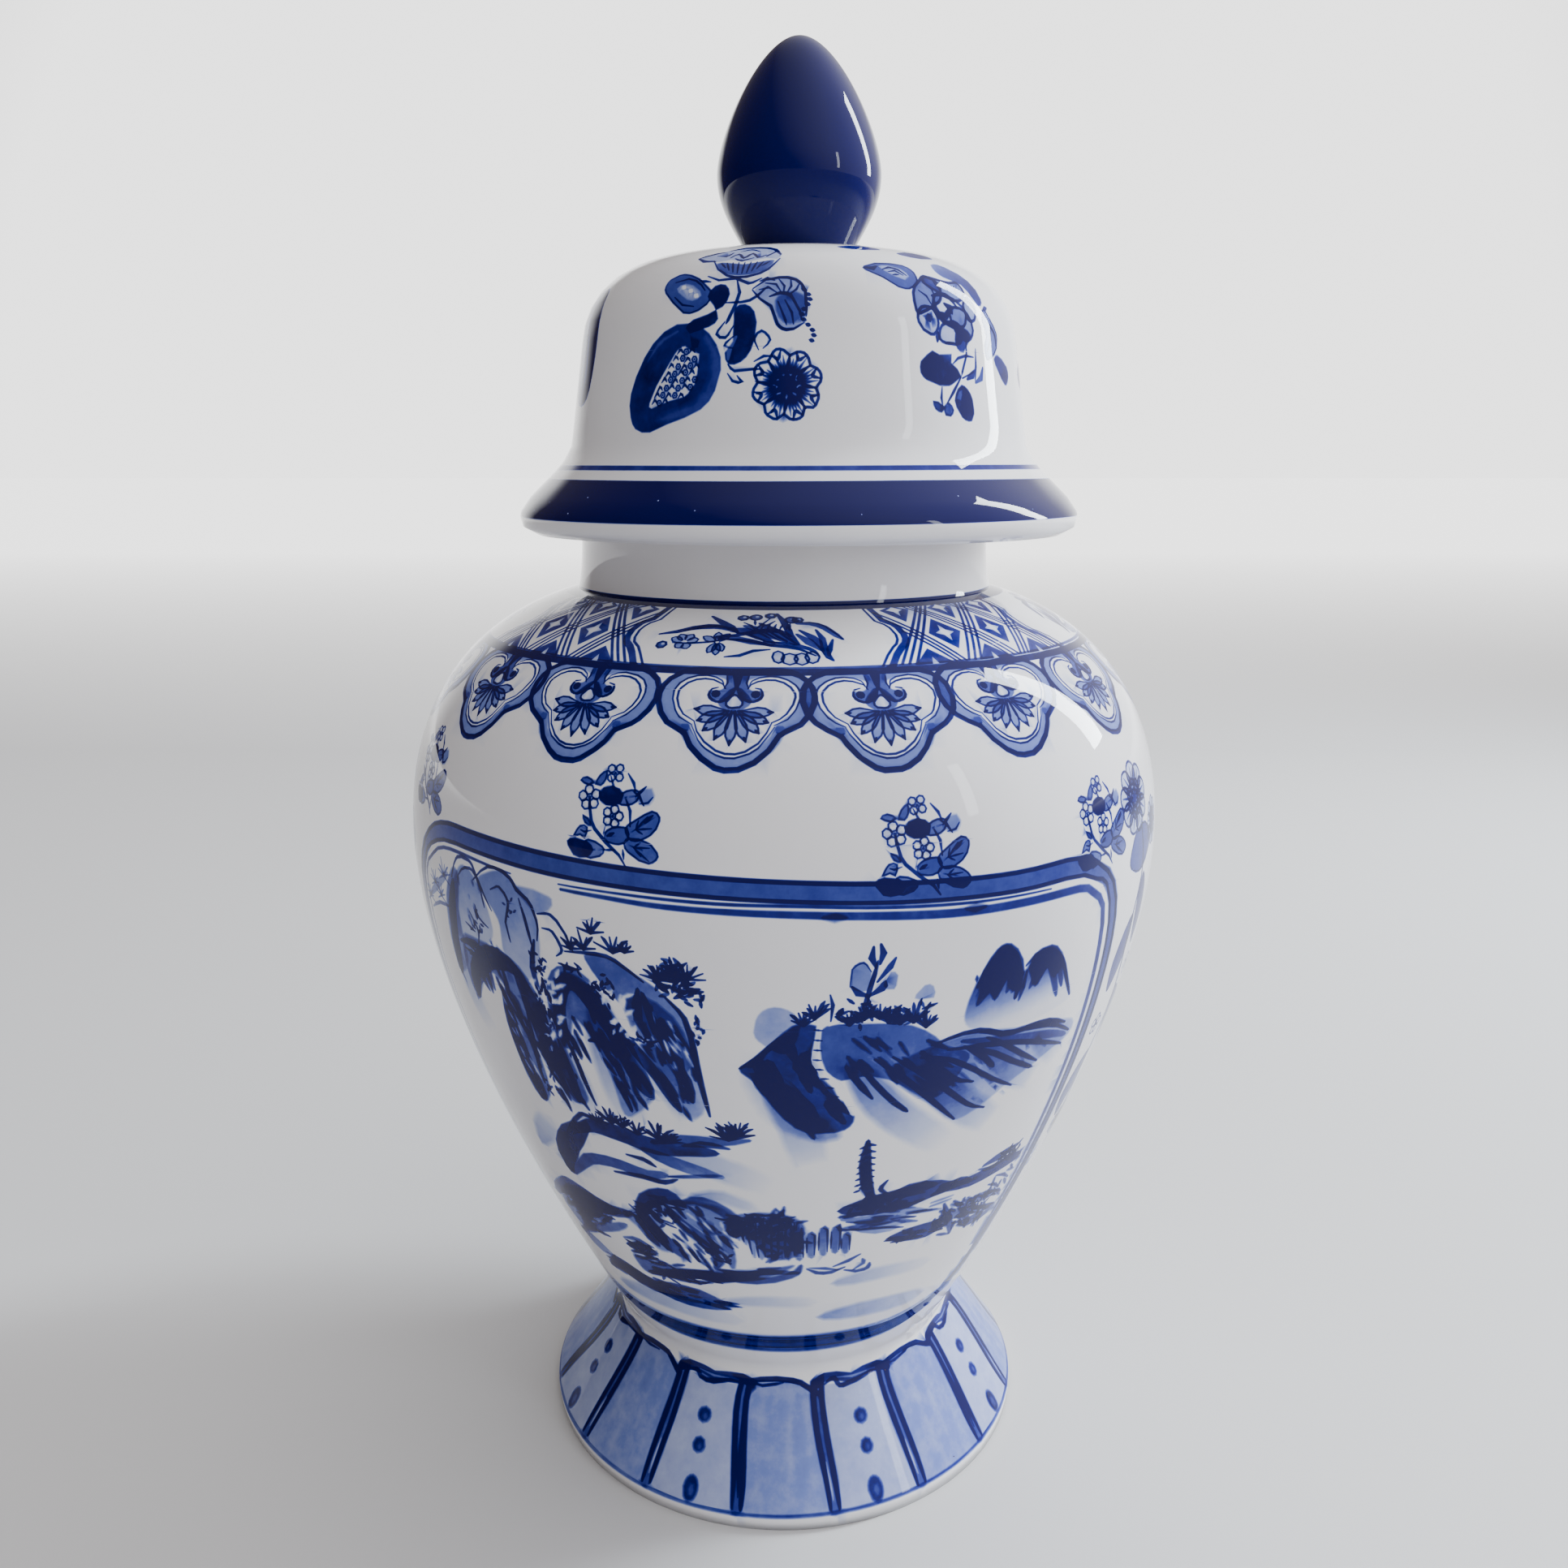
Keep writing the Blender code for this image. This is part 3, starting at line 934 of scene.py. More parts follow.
def ruyi(painting, turn, up, mirror):
    """One cloud-headed lappet of the shoulder fringe, with a lotus fan hanging inside it."""
    m = Motif(painting, turn, up, 1.0, mirror)
    for side in (1, -1):
        half = Motif(painting, turn, up, 1.0, mirror * side)
        lobe = [(2.6, 10.6), (5.6, 12.2), (10.6, 12.4), (15.6, 10.2), (18.5, 5.4), (18.3, 0.8),
                (16, -2.5), (12.4, -4.9)]
        half.brush(lobe, 3.7, 0.38, soft=0.5, tips=(0.6, 0.9), steady=0.15)
        half.brush([(5, 12.9), (12.4, 12.9), (18.0, 9.6), (20.4, 4.6), (20.0, 0), (17.5, -3.7),
                    (13.6, -5.9), (11.9, -6.9)], 1.6, 1.15, tips=(0.9, 0.8), steady=0.12)
        half.brush([(3.4, 7.8), (4.2, 9.6), (7, 11), (10.6, 10.9), (14.2, 9.2), (16.5, 5.9),
                    (16.5, 1.6), (14.2, -2.2), (10.7, -4.1)], 0.5, 1.0, steady=0.12)
        half.brush([(3.0, 6.8), (3.8, 8.3), (6.4, 9.7), (9.8, 9.8), (13, 8.4), (15.3, 5.5), (15.2, 2),
                    (13.2, -1.4), (9.9, -3.2)], 0.62, 1.1, steady=0.12)
        hook = [(1.8, 11.4), (1.3, 8.4), (2.2, 5.8), (4.2, 4.7), (5.8, 4.8)]
        half.brush(hook, 3.2, 0.62, soft=0.4, tips=(0.8, 0.9))
        half.brush([(0.3, 10.6), (0.2, 7.6), (1.2, 4.6), (3.6, 2.8), (6.0, 3.2), (7.1, 4.8), (6.4, 6.8),
                    (4.8, 7.2)], 0.75, 1.2, steady=0.1)
        m.dot(side * 5.2, 5.2, 1.25, 1.0)
        half.brush([(2.9, 11.2), (2.5, 8.8), (3.2, 7)], 0.5, 1.0)
    low = mirrored([(2.8, -14.2), (7, -12.3), (10.4, -8.9), (12.1, -5.4)])
    m.brush(low, 3.3, 0.38, soft=0.5, tips=(0.9, 0.9), steady=0.15)
    m.brush(mirrored([(0, -16.2), (3.6, -15.7), (7.4, -13.4), (10.4, -10), (12, -6.6)]), 1.6, 1.15,
            tips=(0.8, 0.8), steady=0.12)
    m.brush(mirrored([(0, -13.1), (6, -11.1), (9.2, -7.4), (10.6, -4.3)]), 0.5, 0.95, steady=0.12)
    m.brush(mirrored([(0, -12), (3.8, -11.2), (7, -8.9), (8.9, -6.0), (9.8, -3.3)]), 0.62, 1.1,
            steady=0.12)
    m.wash([(-1.4, 12.4), (1.4, 12.4), (0, 6.6)], 1.2, soft=0.4, step=1.2)
    m.wash([(-2.6, 5.4), (-0.8, 7.2), (1.4, 7.0), (3.4, 4.8), (4.4, 2.6), (2.6, 0.6), (0, -0.8),
            (-2.6, 0.4), (-4.4, 2.4)], 0.6, soft=0.4, step=1.3)
    tips = ((-10.4, 0.4), (-9.4, -3.0), (-7.6, -5.8), (-4.4, -8.2), (-0.4, -9.6), (3.8, -8.6),
            (7.0, -6.2), (9.2, -3.2), (10.2, -0.2))
    for number, tip in enumerate(tips):
        base = (tip[0] * 0.16, 0.2 - 0.06 * abs(tip[0]))
        petal(m, base, tip, 3.0, 0.36, line=0.5)
        m.brush([(tip[0] * 0.86, tip[1] * 0.86), tip], 0.9, 1.15, tips=(0.6, 0.5))
    diamond = [(-2.2, 2.6), (-0.2, 4.9), (2.0, 2.9), (1.4, 1.2), (-1.4, 1.1)]
    m.wash(diamond, 0.0, lift=0.97, soft=0.3, step=0.9)
    m.brush(diamond, 0.6, 1.2, closed=True, step=0.9)


LAPPET_TURNS = [-51.5, -30, -7, 14, 34.5, 57.5] + [57.5 + 22.8 * k for k in range(1, 11)]
BAND_LOW = 259.6
BAND_HIGH = 288.8
LATTICE_STEP = 12.6
LATTICE_MIDDLE = 272.3
LATTICE_HALF = 13.8
PANEL_EDGE = [(260, 22.4), (264, 20.6), (266.5, 19.3), (268.5, 17.7), (271.5, 16.9), (275, 17.0),
              (278, 17.8), (280, 19.2), (285, 19.5), (289, 19.7)]


def within_panel(path, centre, inset):
    """The stretch of a straight line that stays inside a lattice panel."""
    ups = [up for up, _ in PANEL_EDGE]
    halves = [half - inset for _, half in PANEL_EDGE]
    (x0, y0), (x1, y1) = path
    kept = []
    for k in range(41):
        x, y = x0 + (x1 - x0) * k / 40, y0 + (y1 - y0) * k / 40
        if BAND_LOW < y < BAND_HIGH and abs(x - centre) < np.interp(y, ups, halves):
            kept.append((x, y))
    return [kept[0], kept[-1]] if len(kept) > 3 else None


def lattice_panel(painting, centre):
    """A panel of diamond lattice between bracketed borders: triple bars, stars in the cells."""
    slope = LATTICE_STEP / 2 / LATTICE_HALF
    for lean in (1, -1):
        for k in range(-3, 4):
            for shift in (-1.25, 0.0, 1.25):
                middle = centre + LATTICE_STEP * k + shift
                low = (middle - lean * slope * (LATTICE_MIDDLE - BAND_LOW), BAND_LOW)
                high = (middle + lean * slope * (BAND_HIGH - LATTICE_MIDDLE), BAND_HIGH)
                path = within_panel([low, high], centre, 2.2)
                if path:
                    painting.brush(path, 0.85, 1.0, tips=(0.9, 0.9), steady=0.12, soft=0.3)
    cells = [(LATTICE_STEP * (k + 0.5), LATTICE_MIDDLE) for k in (-1, 0)]
    cells += [(LATTICE_STEP * k, LATTICE_MIDDLE + s * LATTICE_HALF) for k in (-1, 0, 1) for s in (1, -1)]
    for turn, up in cells:
        x = centre + turn
        low, high = BAND_LOW + 0.2, BAND_HIGH - 0.2
        diamond = [(x - 3.7, up), (x, up + 7.4), (x + 3.7, up), (x, up - 7.4)]
        star = []
        for k in range(8):
            reach = 1.0 if k % 2 == 0 else 0.42
            angle = math.tau * k / 8
            star.append((x + 2.15 * reach * math.cos(angle), up + 4.0 * reach * math.sin(angle)))
        for outline, ink, lift in ((diamond, 1.0, 0.0), (star, 0.0, 0.96)):
            trimmed = [(across, min(max(height, low), high)) for across, height in outline]
            painting.wash(trimmed, ink, lift=lift, corners=True, soft=0.35)
    for side in (-1, 1):
        edge = [(centre + side * half, up) for up, half in PANEL_EDGE]
        inner = [(centre + side * (half - 1.65), up) for up, half in PANEL_EDGE]
        painting.brush(edge, 0.8, 1.05, tips=(0.8, 0.8), steady=0.1)
        painting.brush(inner, 2.1, 1.0, tips=(0.9, 0.9), steady=0.15)


def orchid(painting, turn, mirror):
    """The spray in each white cartouche: long leaves, buds, and an open bloom below them."""
    m = Scene(painting, -6.0, turn, mirror)
    strokes(m, [
        (3.2, 0.95, [(-10.5, 276.4), (-7.4, 275.6), (-4.4, 273), (-1.6, 270)]),
        (2.8, 0.85, [(-7.6, 278.2), (-5, 276.6), (-2.6, 273.6), (0.6, 270.6)]),
        (2.8, 0.95, [(-4.6, 279.6), (-2.6, 277), (-0.6, 273.4), (2.2, 269.4)]),
        (2.4, 0.8, [(-12.6, 272), (-9, 272), (-5.6, 270.4), (-2, 269)]),
        (2.8, 0.85, [(2.4, 274), (4.4, 270.4), (6.6, 266.6)]),
        (0.6, 1.2, [(-10, 275), (-6.6, 274), (-3, 270.6)]),
        (0.6, 1.2, [(-6, 277.6), (-3.4, 274.6), (-0.6, 271)]),
        (0.6, 1.2, [(-3, 278.6), (-0.4, 274), (2, 270)]),
    ])
    strokes(m, [
        (2.0, 1.1, [(-23.8, 272.6), (-20.4, 274.2), (-17.6, 276.4), (-14, 277.9), (-10.5, 276.8)]),
        (2.2, 0.8, [(-19, 275), (-16, 276.8), (-12.5, 277.2), (-9, 275.2)]),
        (2.2, 1.05, [(-15, 283.2), (-13, 280.4), (-10.6, 278), (-8.4, 274.4)]),
        (1.9, 1.1, [(-12.4, 272.6), (-8, 273.6), (-4.4, 275.6), (-1, 275.6), (1.4, 273)]),
        (1.3, 1.1, [(-11.4, 271.4), (-6.4, 271), (-2.4, 269), (2, 267.8), (5.6, 264.6)]),
        (1.5, 1.0, [(-3.4, 270.6), (0.6, 269.6), (4.4, 267.4), (6, 264.6)]),
        (2.1, 1.1, [(-1.3, 285.4), (-0.4, 282), (0.6, 278), (1.2, 273.6), (2.8, 269.4)]),
        (2.4, 0.85, [(2.6, 279.4), (5, 279.6), (7.4, 277.8), (9.2, 274.2), (10.8, 271.3)]),
        (0.6, 1.15, [(3, 280.2), (5.4, 280.1), (8, 278), (10.8, 271.4)]),
        (1.2, 1.1, [(-9.9, 264), (-7.4, 264.6), (-5.2, 266.6), (-2.4, 267.2)]),
        (2.3, 0.95, [(3.0, 276), (4.6, 273.4), (6.0, 270.6), (6.6, 266.6)]),
        (2.0, 1.0, [(6.1, 276.2), (6.9, 272), (6.8, 268), (7.4, 264), (8.1, 262.6)]),
        (1.8, 1.0, [(8.7, 271.4), (7.9, 268.2), (7.4, 264.6)]),
        (0.8, 1.1, [(-20, 269), (-15, 269.4), (-11, 271)]),
        (0.8, 1.1, [(-8, 280), (-6.4, 278.4), (-5.4, 276)]),
        (0.8, 1.1, [(-5.9, 281.4), (-5.6, 278.6)]),
        (0.8, 1.1, [(-2.9, 282.4), (-4.2, 279.4), (-5.2, 277)]),
        (0.8, 1.1, [(-1.8, 281), (-3, 279), (-4.6, 278.2)]),
        (0.8, 1.1, [(1.2, 279.6), (1, 276)]),
    ])
    for k in range(5):
        m.brush([(-4.4 + 1.2 * k, 276.4), (-3.9 + 1.2 * k, 279.2 - 0.3 * (k % 2))], 0.7, 1.1)
    for x, y, radius in ((-8.4, 282.6, 1.5), (-5.8, 283, 1.6), (-2.8, 284, 1.5), (1.6, 281.6, 1.8),
                         (2.8, 281.6, 1.5), (-21.8, 268, 1.5)):
        spot = Motif(painting, m.at([(x, y)])[0][0], y)
        spot.dot(0, 0, radius, 0.75)
        spot.brush(circle(0, 0, radius, radius, 7), 0.6, 1.1, closed=True, step=0.9)
        spot.dot(0.3, 0.4, radius * 0.35, 0.0, lift=0.7)
    bud = Motif(painting, m.at([(-17.8, 269.6)])[0][0], 269.6, 1.0, mirror)
    for tip in ((-4.2, 1.6), (-2.2, 3.4), (1.4, 3.6), (3.6, 1.4), (1.6, -2.8), (-1.8, -2.6)):
        petal(bud, (0.2 * tip[0], 0.2 * tip[1]), tip, 2.6, 0.35)
    fall = Motif(painting, m.at([(-11.8, 270)])[0][0], 270, 1.0, mirror)
    for tip in ((-1.8, -4.6), (0.6, -5.4), (2.2, -3.8), (-4.4, 2.4), (-0.6, 4.6), (2.6, 4)):
        petal(fall, (0.1 * tip[0], 0.1 * tip[1]), tip, 2.3, 0.4)
    bloom = Motif(painting, m.at([(1.8, 265.4)])[0][0], 265.4, 1.0, mirror)
    for x, y, rx, ry in ((-4.4, -1.2, 1.6, 2.4), (-1.4, -2, 2.2, 2.2), (1.8, -2, 2, 2.3),
                         (4.6, -1.4, 1.9, 2.3)):
        bloom.wash(circle(x, y, rx, ry), 0.12, soft=0.4)
        bloom.brush(circle(x, y, rx, ry), 0.55, 1.1, closed=True)


# ------------------------------------------------------------------------------- landscape panels
# Hills and water in a framed panel, front and back, drawn in turns and lengths up the wall. Pale
# washes go on first, then the land from left to right, and the frame last.

LANDSCAPE_MIDDLE = -5.0


def pale_washes(m):
    """Mist under the cliffs, the moon, the water, and the body colour of the cliffs."""
    strokes(m, [
        (8, 0.28, 0.0, [(-52, 164), (-51, 152), (-48, 140)]),
        (11, 0.30, 0.0, [(-33, 146), (-31, 132), (-31, 118)]),
        (12, 0.50, 0.0, [(-24.4, 164), (-23.8, 146), (-22.4, 122)]),
        (9, 0.42, 0.0, [(-18, 152), (-15, 138), (-13, 128)]),
        (10, 0.26, 0.0, [(-16, 114), (-9, 109), (-2, 103)]),
        (9, 0.30, 0.06, [(-46.5, 99), (-43.4, 107), (-41, 112)]),
        (11, 0.46, 0.0, [(-2, 143), (1.6, 130), (4, 112)]),
        (11, 0.50, 0.0, [(9, 147), (15, 131), (25, 113)]),
        (11, 0.52, 0.0, [(19, 143), (26, 129), (33, 118)]),
        (10, 0.44, 0.0, [(29, 146), (36, 134), (40, 130)]),
        (9, 0.30, 0.0, [(38, 145), (43, 138), (45, 134)]),
        (7, 0.26, 0.05, [(11, 55), (20, 56.6), (31, 55)]),
        (9, 0.34, 0.10, [(9.5, 36), (20, 36.6), (34, 35)]),
        (6, 0.20, 0.04, [(-12, 44), (-4, 45.6), (6, 45)]),
        (10, 0.26, 0.06, [(-44, 33), (-30, 35), (-12, 33)]),
        (5, 0.34, 0.08, [(-15, 96), (-10, 97.6), (-5, 93)]),
    ], soft=2.2, tips=(0.5, 0.7), step=3.0)
    m.wash([(-3.6, 158), (-3.2, 165), (-1.2, 167.6), (1.2, 165.6), (2, 160), (0, 153)], 0.32, soft=0.6)
    m.wash([(-52, 172), (-50.6, 186), (-48, 194), (-44.6, 192), (-42, 184), (-41.6, 176), (-45, 171)],
           0.40, fade=[(-48, 194), (-46, 170)], end_ink=0.16, soft=0.8)
    m.wash([(-44, 191), (-41, 195.4), (-38, 196), (-34.6, 191), (-32.6, 184), (-33, 172), (-36, 164),
            (-39.6, 172), (-40, 182)], 0.46, fade=[(-39, 196), (-36, 165)], end_ink=0.2, soft=0.8)
    m.wash([(-36, 193), (-33, 193.6), (-30, 192), (-30.6, 188.6), (-33, 187)], 0.32, soft=0.8)
    m.wash([(-25.6, 177.6), (-22.4, 178.4), (-19, 175), (-15.6, 170.6), (-12.6, 163), (-11.4, 152),
            (-13.6, 144), (-16.6, 152), (-18.6, 160), (-20.6, 164), (-23, 169)], 0.66,
           fade=[(-22, 178), (-13, 144)], end_ink=0.3, soft=0.6)
    m.wash([(-53.6, 158), (-54, 170), (-52.8, 184), (-50.4, 192), (-48.6, 190), (-49.6, 180),
            (-49.4, 170), (-50, 162)], 0.62, fade=[(-52, 188), (-52, 158)], end_ink=0.3, soft=1.0)
    m.wash([(-49.4, 172), (-46, 173), (-42, 172.6), (-39, 171), (-36.4, 168), (-34, 160), (-32, 150),
            (-30.6, 140), (-29.6, 128), (-33, 126), (-36, 136), (-38, 148), (-40, 158), (-43, 163.6),
            (-46.4, 162), (-48, 154), (-50, 153), (-50.6, 162)], 0.55, soft=1.0)
    m.wash([(-32, 146), (-32.4, 158), (-31.4, 167), (-29, 171.4), (-26, 170), (-23.6, 164), (-21.6, 155),
            (-19.8, 146), (-18, 136), (-21, 128), (-23.6, 126), (-24.4, 140), (-26.4, 152), (-28.6, 157),
            (-30, 150)], 0.62, fade=[(-28, 168), (-21, 126)], end_ink=0.35, soft=1.0)
    m.wash([(-20.6, 166), (-17.4, 168), (-14, 163), (-12, 154), (-11.4, 144), (-10.6, 134), (-13, 128),
            (-15.6, 134), (-17.6, 146), (-19.6, 156)], 0.55, fade=[(-17, 166), (-12, 130)], end_ink=0.25,
           soft=1.0)
    m.wash([(-41.8, 158), (-40.4, 160), (-38.6, 157), (-38, 148), (-37, 138), (-37.4, 126), (-40, 121),
            (-42, 128), (-42.6, 144)], 0.60, soft=0.8)


def arched_cliffs(m):
    """The arched cliffs on the left, with their cracks."""
    strokes(m, [
        (5.0, 0.66, 0.95, [(-50.4, 188), (-51.6, 178), (-52.7, 166), (-53, 157.4)]),
        (7.6, 1.0, 0.7, [(-49, 152.4), (-48.3, 158.6), (-46, 165), (-43, 168.6), (-39.8, 169),
                         (-37, 166.6)]),
        (6.0, 0.95, 0.6, [(-41.7, 158), (-41.5, 150), (-41, 138), (-40.2, 128), (-39.6, 122)]),
        (7.6, 0.75, 0.42, [(-38, 168), (-36.2, 159), (-34.8, 148), (-33.6, 138), (-32, 127)]),
        (7.4, 0.78, 0.5, [(-30.9, 147), (-31.3, 160), (-30.2, 167.4), (-28.4, 170), (-26.3, 168),
                          (-24.4, 162),
                           (-22.6, 154)]),
        (6.4, 0.60, 0.75, [(-24, 164), (-22, 154), (-20.6, 145), (-18.6, 134.5)]),
        (3.8, 1.10, 0.80, [(-22, 158), (-19.6, 150), (-17, 142), (-14.6, 131)]),
        (3.2, 0.95, 0.80, [(-18, 169), (-16.6, 160), (-15.4, 152), (-13, 141), (-12.7, 135)]),
        (1.7, 1.20, [(-15, 168.6), (-12.6, 163), (-11.7, 154), (-11.3, 144), (-10.4, 130)]),
        (2.6, 0.9, 0.6, [(-18.4, 170), (-18.8, 162), (-18.2, 156)]),
        (1.5, 1.15, [(-37.3, 154), (-37.4, 146), (-38.2, 134), (-38, 129)]),
        (1.4, 1.1, [(-35.6, 158), (-34, 148), (-34.2, 140), (-36.4, 132)]),
        (1.6, 1.1, [(-30.8, 150), (-29.8, 142), (-29.2, 134), (-28.4, 127)]),
        (2.4, 1.0, 0.7, [(-26.8, 150.6), (-24.8, 152), (-23, 149.6), (-22, 146)]),
        (2.2, 0.9, 0.5, [(-32.4, 148), (-31.6, 139), (-31, 127)]),
        (2.4, 0.8, 0.5, [(-50.6, 169.6), (-47, 171), (-44, 170)]),
        (2.0, 1.0, 0.7, [(-33.4, 179), (-34.4, 170), (-33.6, 160)]),
    ], steady=0.2, soft=0.5)
    dabs(m, [(-49, 152), (-46, 168), (-40, 170), (-36, 160), (-31, 130), (-35, 126), (-40, 150),
             (-44, 160)], 44, 7, -70, 1.2, width=1.1)
    dabs(m, [(-31, 148), (-30, 168), (-26, 170), (-21, 150), (-18, 132), (-22, 128), (-26, 150)],
         34, 8, -72, 1.2, width=1.1)
    dabs(m, [(-21, 166), (-16, 168), (-12, 152), (-11, 136), (-14, 132), (-18, 150)], 26, 7, -74, 1.15,
         width=1.0)
    dabs(m, [(-37, 166), (-32, 174), (-30, 168), (-31, 148), (-34, 140)], 24, 3.0, 40, 1.0, width=1.2,
         lift=0.9, stray=40)
    dabs(m, [(-26, 170), (-20, 168), (-18, 150), (-22, 150)], 20, 3.0, 50, 1.0, width=1.1, lift=0.9,
         stray=40)
    dabs(m, [(-19, 166), (-14, 164), (-11.6, 150), (-15, 142)], 14, 5.0, -66, 1.0, width=0.8, lift=0.75)
    dabs(m, [(-43, 158), (-40, 158), (-38, 130), (-40.6, 126)], 10, 4.0, -76, 1.0, width=0.8, lift=0.7)
    dabs(m, [(-50, 190), (-46, 194), (-42, 188), (-40, 172), (-48, 174)], 12, 3.0, -80, 0.95, width=0.6)


def cliff_ridge(m):
    """Ridge lines along the cliffs and the small trees that grow on them."""
    strokes(m, [
        (1.0, 1.05, [(-50.8, 189), (-49.6, 194), (-48.2, 196.2), (-45.6, 195.8), (-44, 192.4),
                     (-42.6, 188), (-41.2, 184)]),
        (0.9, 1.0, [(-49, 190), (-47.4, 193.4), (-45.2, 193.8), (-43.4, 189.6), (-42.8, 184)]),
        (1.1, 1.1, [(-45, 191), (-42.2, 195.8), (-39.6, 196.8), (-37.2, 195.2), (-36, 192.4),
                    (-33.8, 189.6), (-32.6, 184), (-33, 179)]),
        (0.9, 1.0, [(-41.2, 190), (-39.2, 191.6), (-37.6, 188), (-38.4, 182), (-38, 176)]),
        (1.1, 1.05, [(-35.6, 190), (-34.6, 184), (-34, 177)]),
        (1.0, 1.05, [(-32.6, 187), (-30.4, 187.6), (-28.6, 184), (-27.2, 178)]),
        (1.0, 1.0, [(-31.8, 183), (-30.2, 182.6), (-29, 178), (-30, 175.6)]),
        (1.2, 1.1, [(-28.6, 177.6), (-26, 178.6), (-22.4, 178.4), (-19.8, 175.6), (-17.6, 172.6)]),
        (0.8, 1.0, [(-46.6, 181), (-45, 176), (-45.4, 171)]),
        (0.8, 1.0, [(-48, 177), (-45.8, 175)]),
        (0.7, 1.0, [(-45, 184), (-44.2, 180), (-42.4, 178)]),
        (2.6, 0.42, 0.30, [(-60.4, 178), (-56, 184), (-52, 189.4)]),
        (1.2, 0.62, [(-60, 174.6), (-56, 178.4), (-52, 179)]),
    ], steady=0.2)
    for x, y, size in ((-60, 178, 4), (-57, 184, 4.5), (-53.4, 188, 5), (-55, 181, 4)):
        tuft(m, x, y, size, count=8, ink=0.55, spread=110)
    for x, y, size in ((-25.6, 179.6, 5.2), (-24.4, 184.6, 4.4), (-21.4, 180, 5.6), (-19.8, 180.6, 3.4),
                       (-27.6, 179, 3.6)):
        tuft(m, x, y, size, count=6, ink=1.2, spread=75, width=1.1)
    crowns(m, [
        (-13.6, 174.2, 2.8, 5.0, 52, 2.4, 0.9), (-11.4, 169.4, 1.5, 2.6, 12, 2.0, 1.0),
    ])
    for x, y in ((-13.6, 175), (-15.4, 173.6), (-11.8, 174.6)):
        tuft(m, x, y, 5.6, count=9, ink=1.15, spread=85, width=0.9)
    crowns(m, [
        (-10.6, 159, 0.9, 5.4, 12, 1.9, 0.9), (-23.6, 168, 1.9, 4.8, 26, 1.7, 1.15),
        (-33.4, 160, 1.6, 10.0, 44, 2.0, 1.1), (-35.6, 148, 1.2, 12.0, 26, 1.9, 1.0),
        (-46, 168, 2.6, 2.0, 14, 1.8, 1.0), (-33, 172, 1.6, 4.0, 18, 1.7, 1.0),
        (-30, 141, 0.9, 8.0, 12, 1.6, 1.1), (-19.4, 152.6, 2.2, 3.2, 16, 1.6, 1.0),
        (-36.4, 129, 1.5, 4.0, 8, 1.8, 0.8), (-45.4, 178, 1.8, 3.6, 12, 1.5, 0.9),
        (-28, 172.6, 2.6, 1.2, 9, 1.5, 1.1), (-37.6, 186, 1.2, 3.0, 9, 1.4, 0.8),
    ])


def dark_spur(m):
    """The dark spur under the cliffs, grown over with grass."""
    strokes(m, [
        (9.0, 1.25, 1.05, [(-40.6, 92), (-40, 98), (-37.6, 106), (-34.4, 112.6), (-31.6, 116)]),
        (6.5, 1.15, 1.0, [(-34.6, 113), (-30.4, 117.6), (-25, 117.4), (-20, 115.6), (-15, 116),
                          (-10, 116)]),
        (3.2, 0.95, 0.62, [(-20, 117), (-14.4, 120.6), (-9, 120.6), (-4.8, 121.8)]),
        (5.0, 0.9, 0.35, [(-22, 113), (-16, 109.4), (-9.6, 106)]),
        (4.6, 0.95, 0.6, [(-39.4, 91), (-36.4, 97), (-33.4, 102), (-28, 104), (-22.6, 102.4),
                          (-18.6, 104)]),
        (2.0, 1.1, [(-29, 99.8), (-24, 101), (-19.6, 100.4), (-17, 103)]),
        (1.6, 1.0, 0.3, [(-18.6, 103.4), (-14.6, 105), (-9.6, 107)]),
        (1.8, 1.1, [(-25.2, 109), (-22.4, 109), (-20.4, 106.4)]),
        (1.6, 1.15, [(-36.8, 110), (-32.8, 120), (-30.6, 121.4), (-27, 120.6)]),
        (2.2, 1.1, 0.8, [(-15, 117.4), (-11.6, 119), (-8, 118)]),
    ], steady=0.25, soft=0.6)
    for x, y, size in ((-26.4, 121, 6.4), (-24.6, 120.6, 5), (-22.2, 119, 5), (-18.8, 118.6, 6.6),
                       (-16.8, 118.4, 4), (-29, 120, 3.6)):
        tuft(m, x, y, size, count=7, ink=1.2, spread=62, width=1.0)
    tuft(m, -8, 121.6, 7.2, count=12, ink=1.15, spread=75, width=1.1)
    tuft(m, -6.6, 123.6, 5.6, count=9, ink=1.1, spread=80, width=1.0)


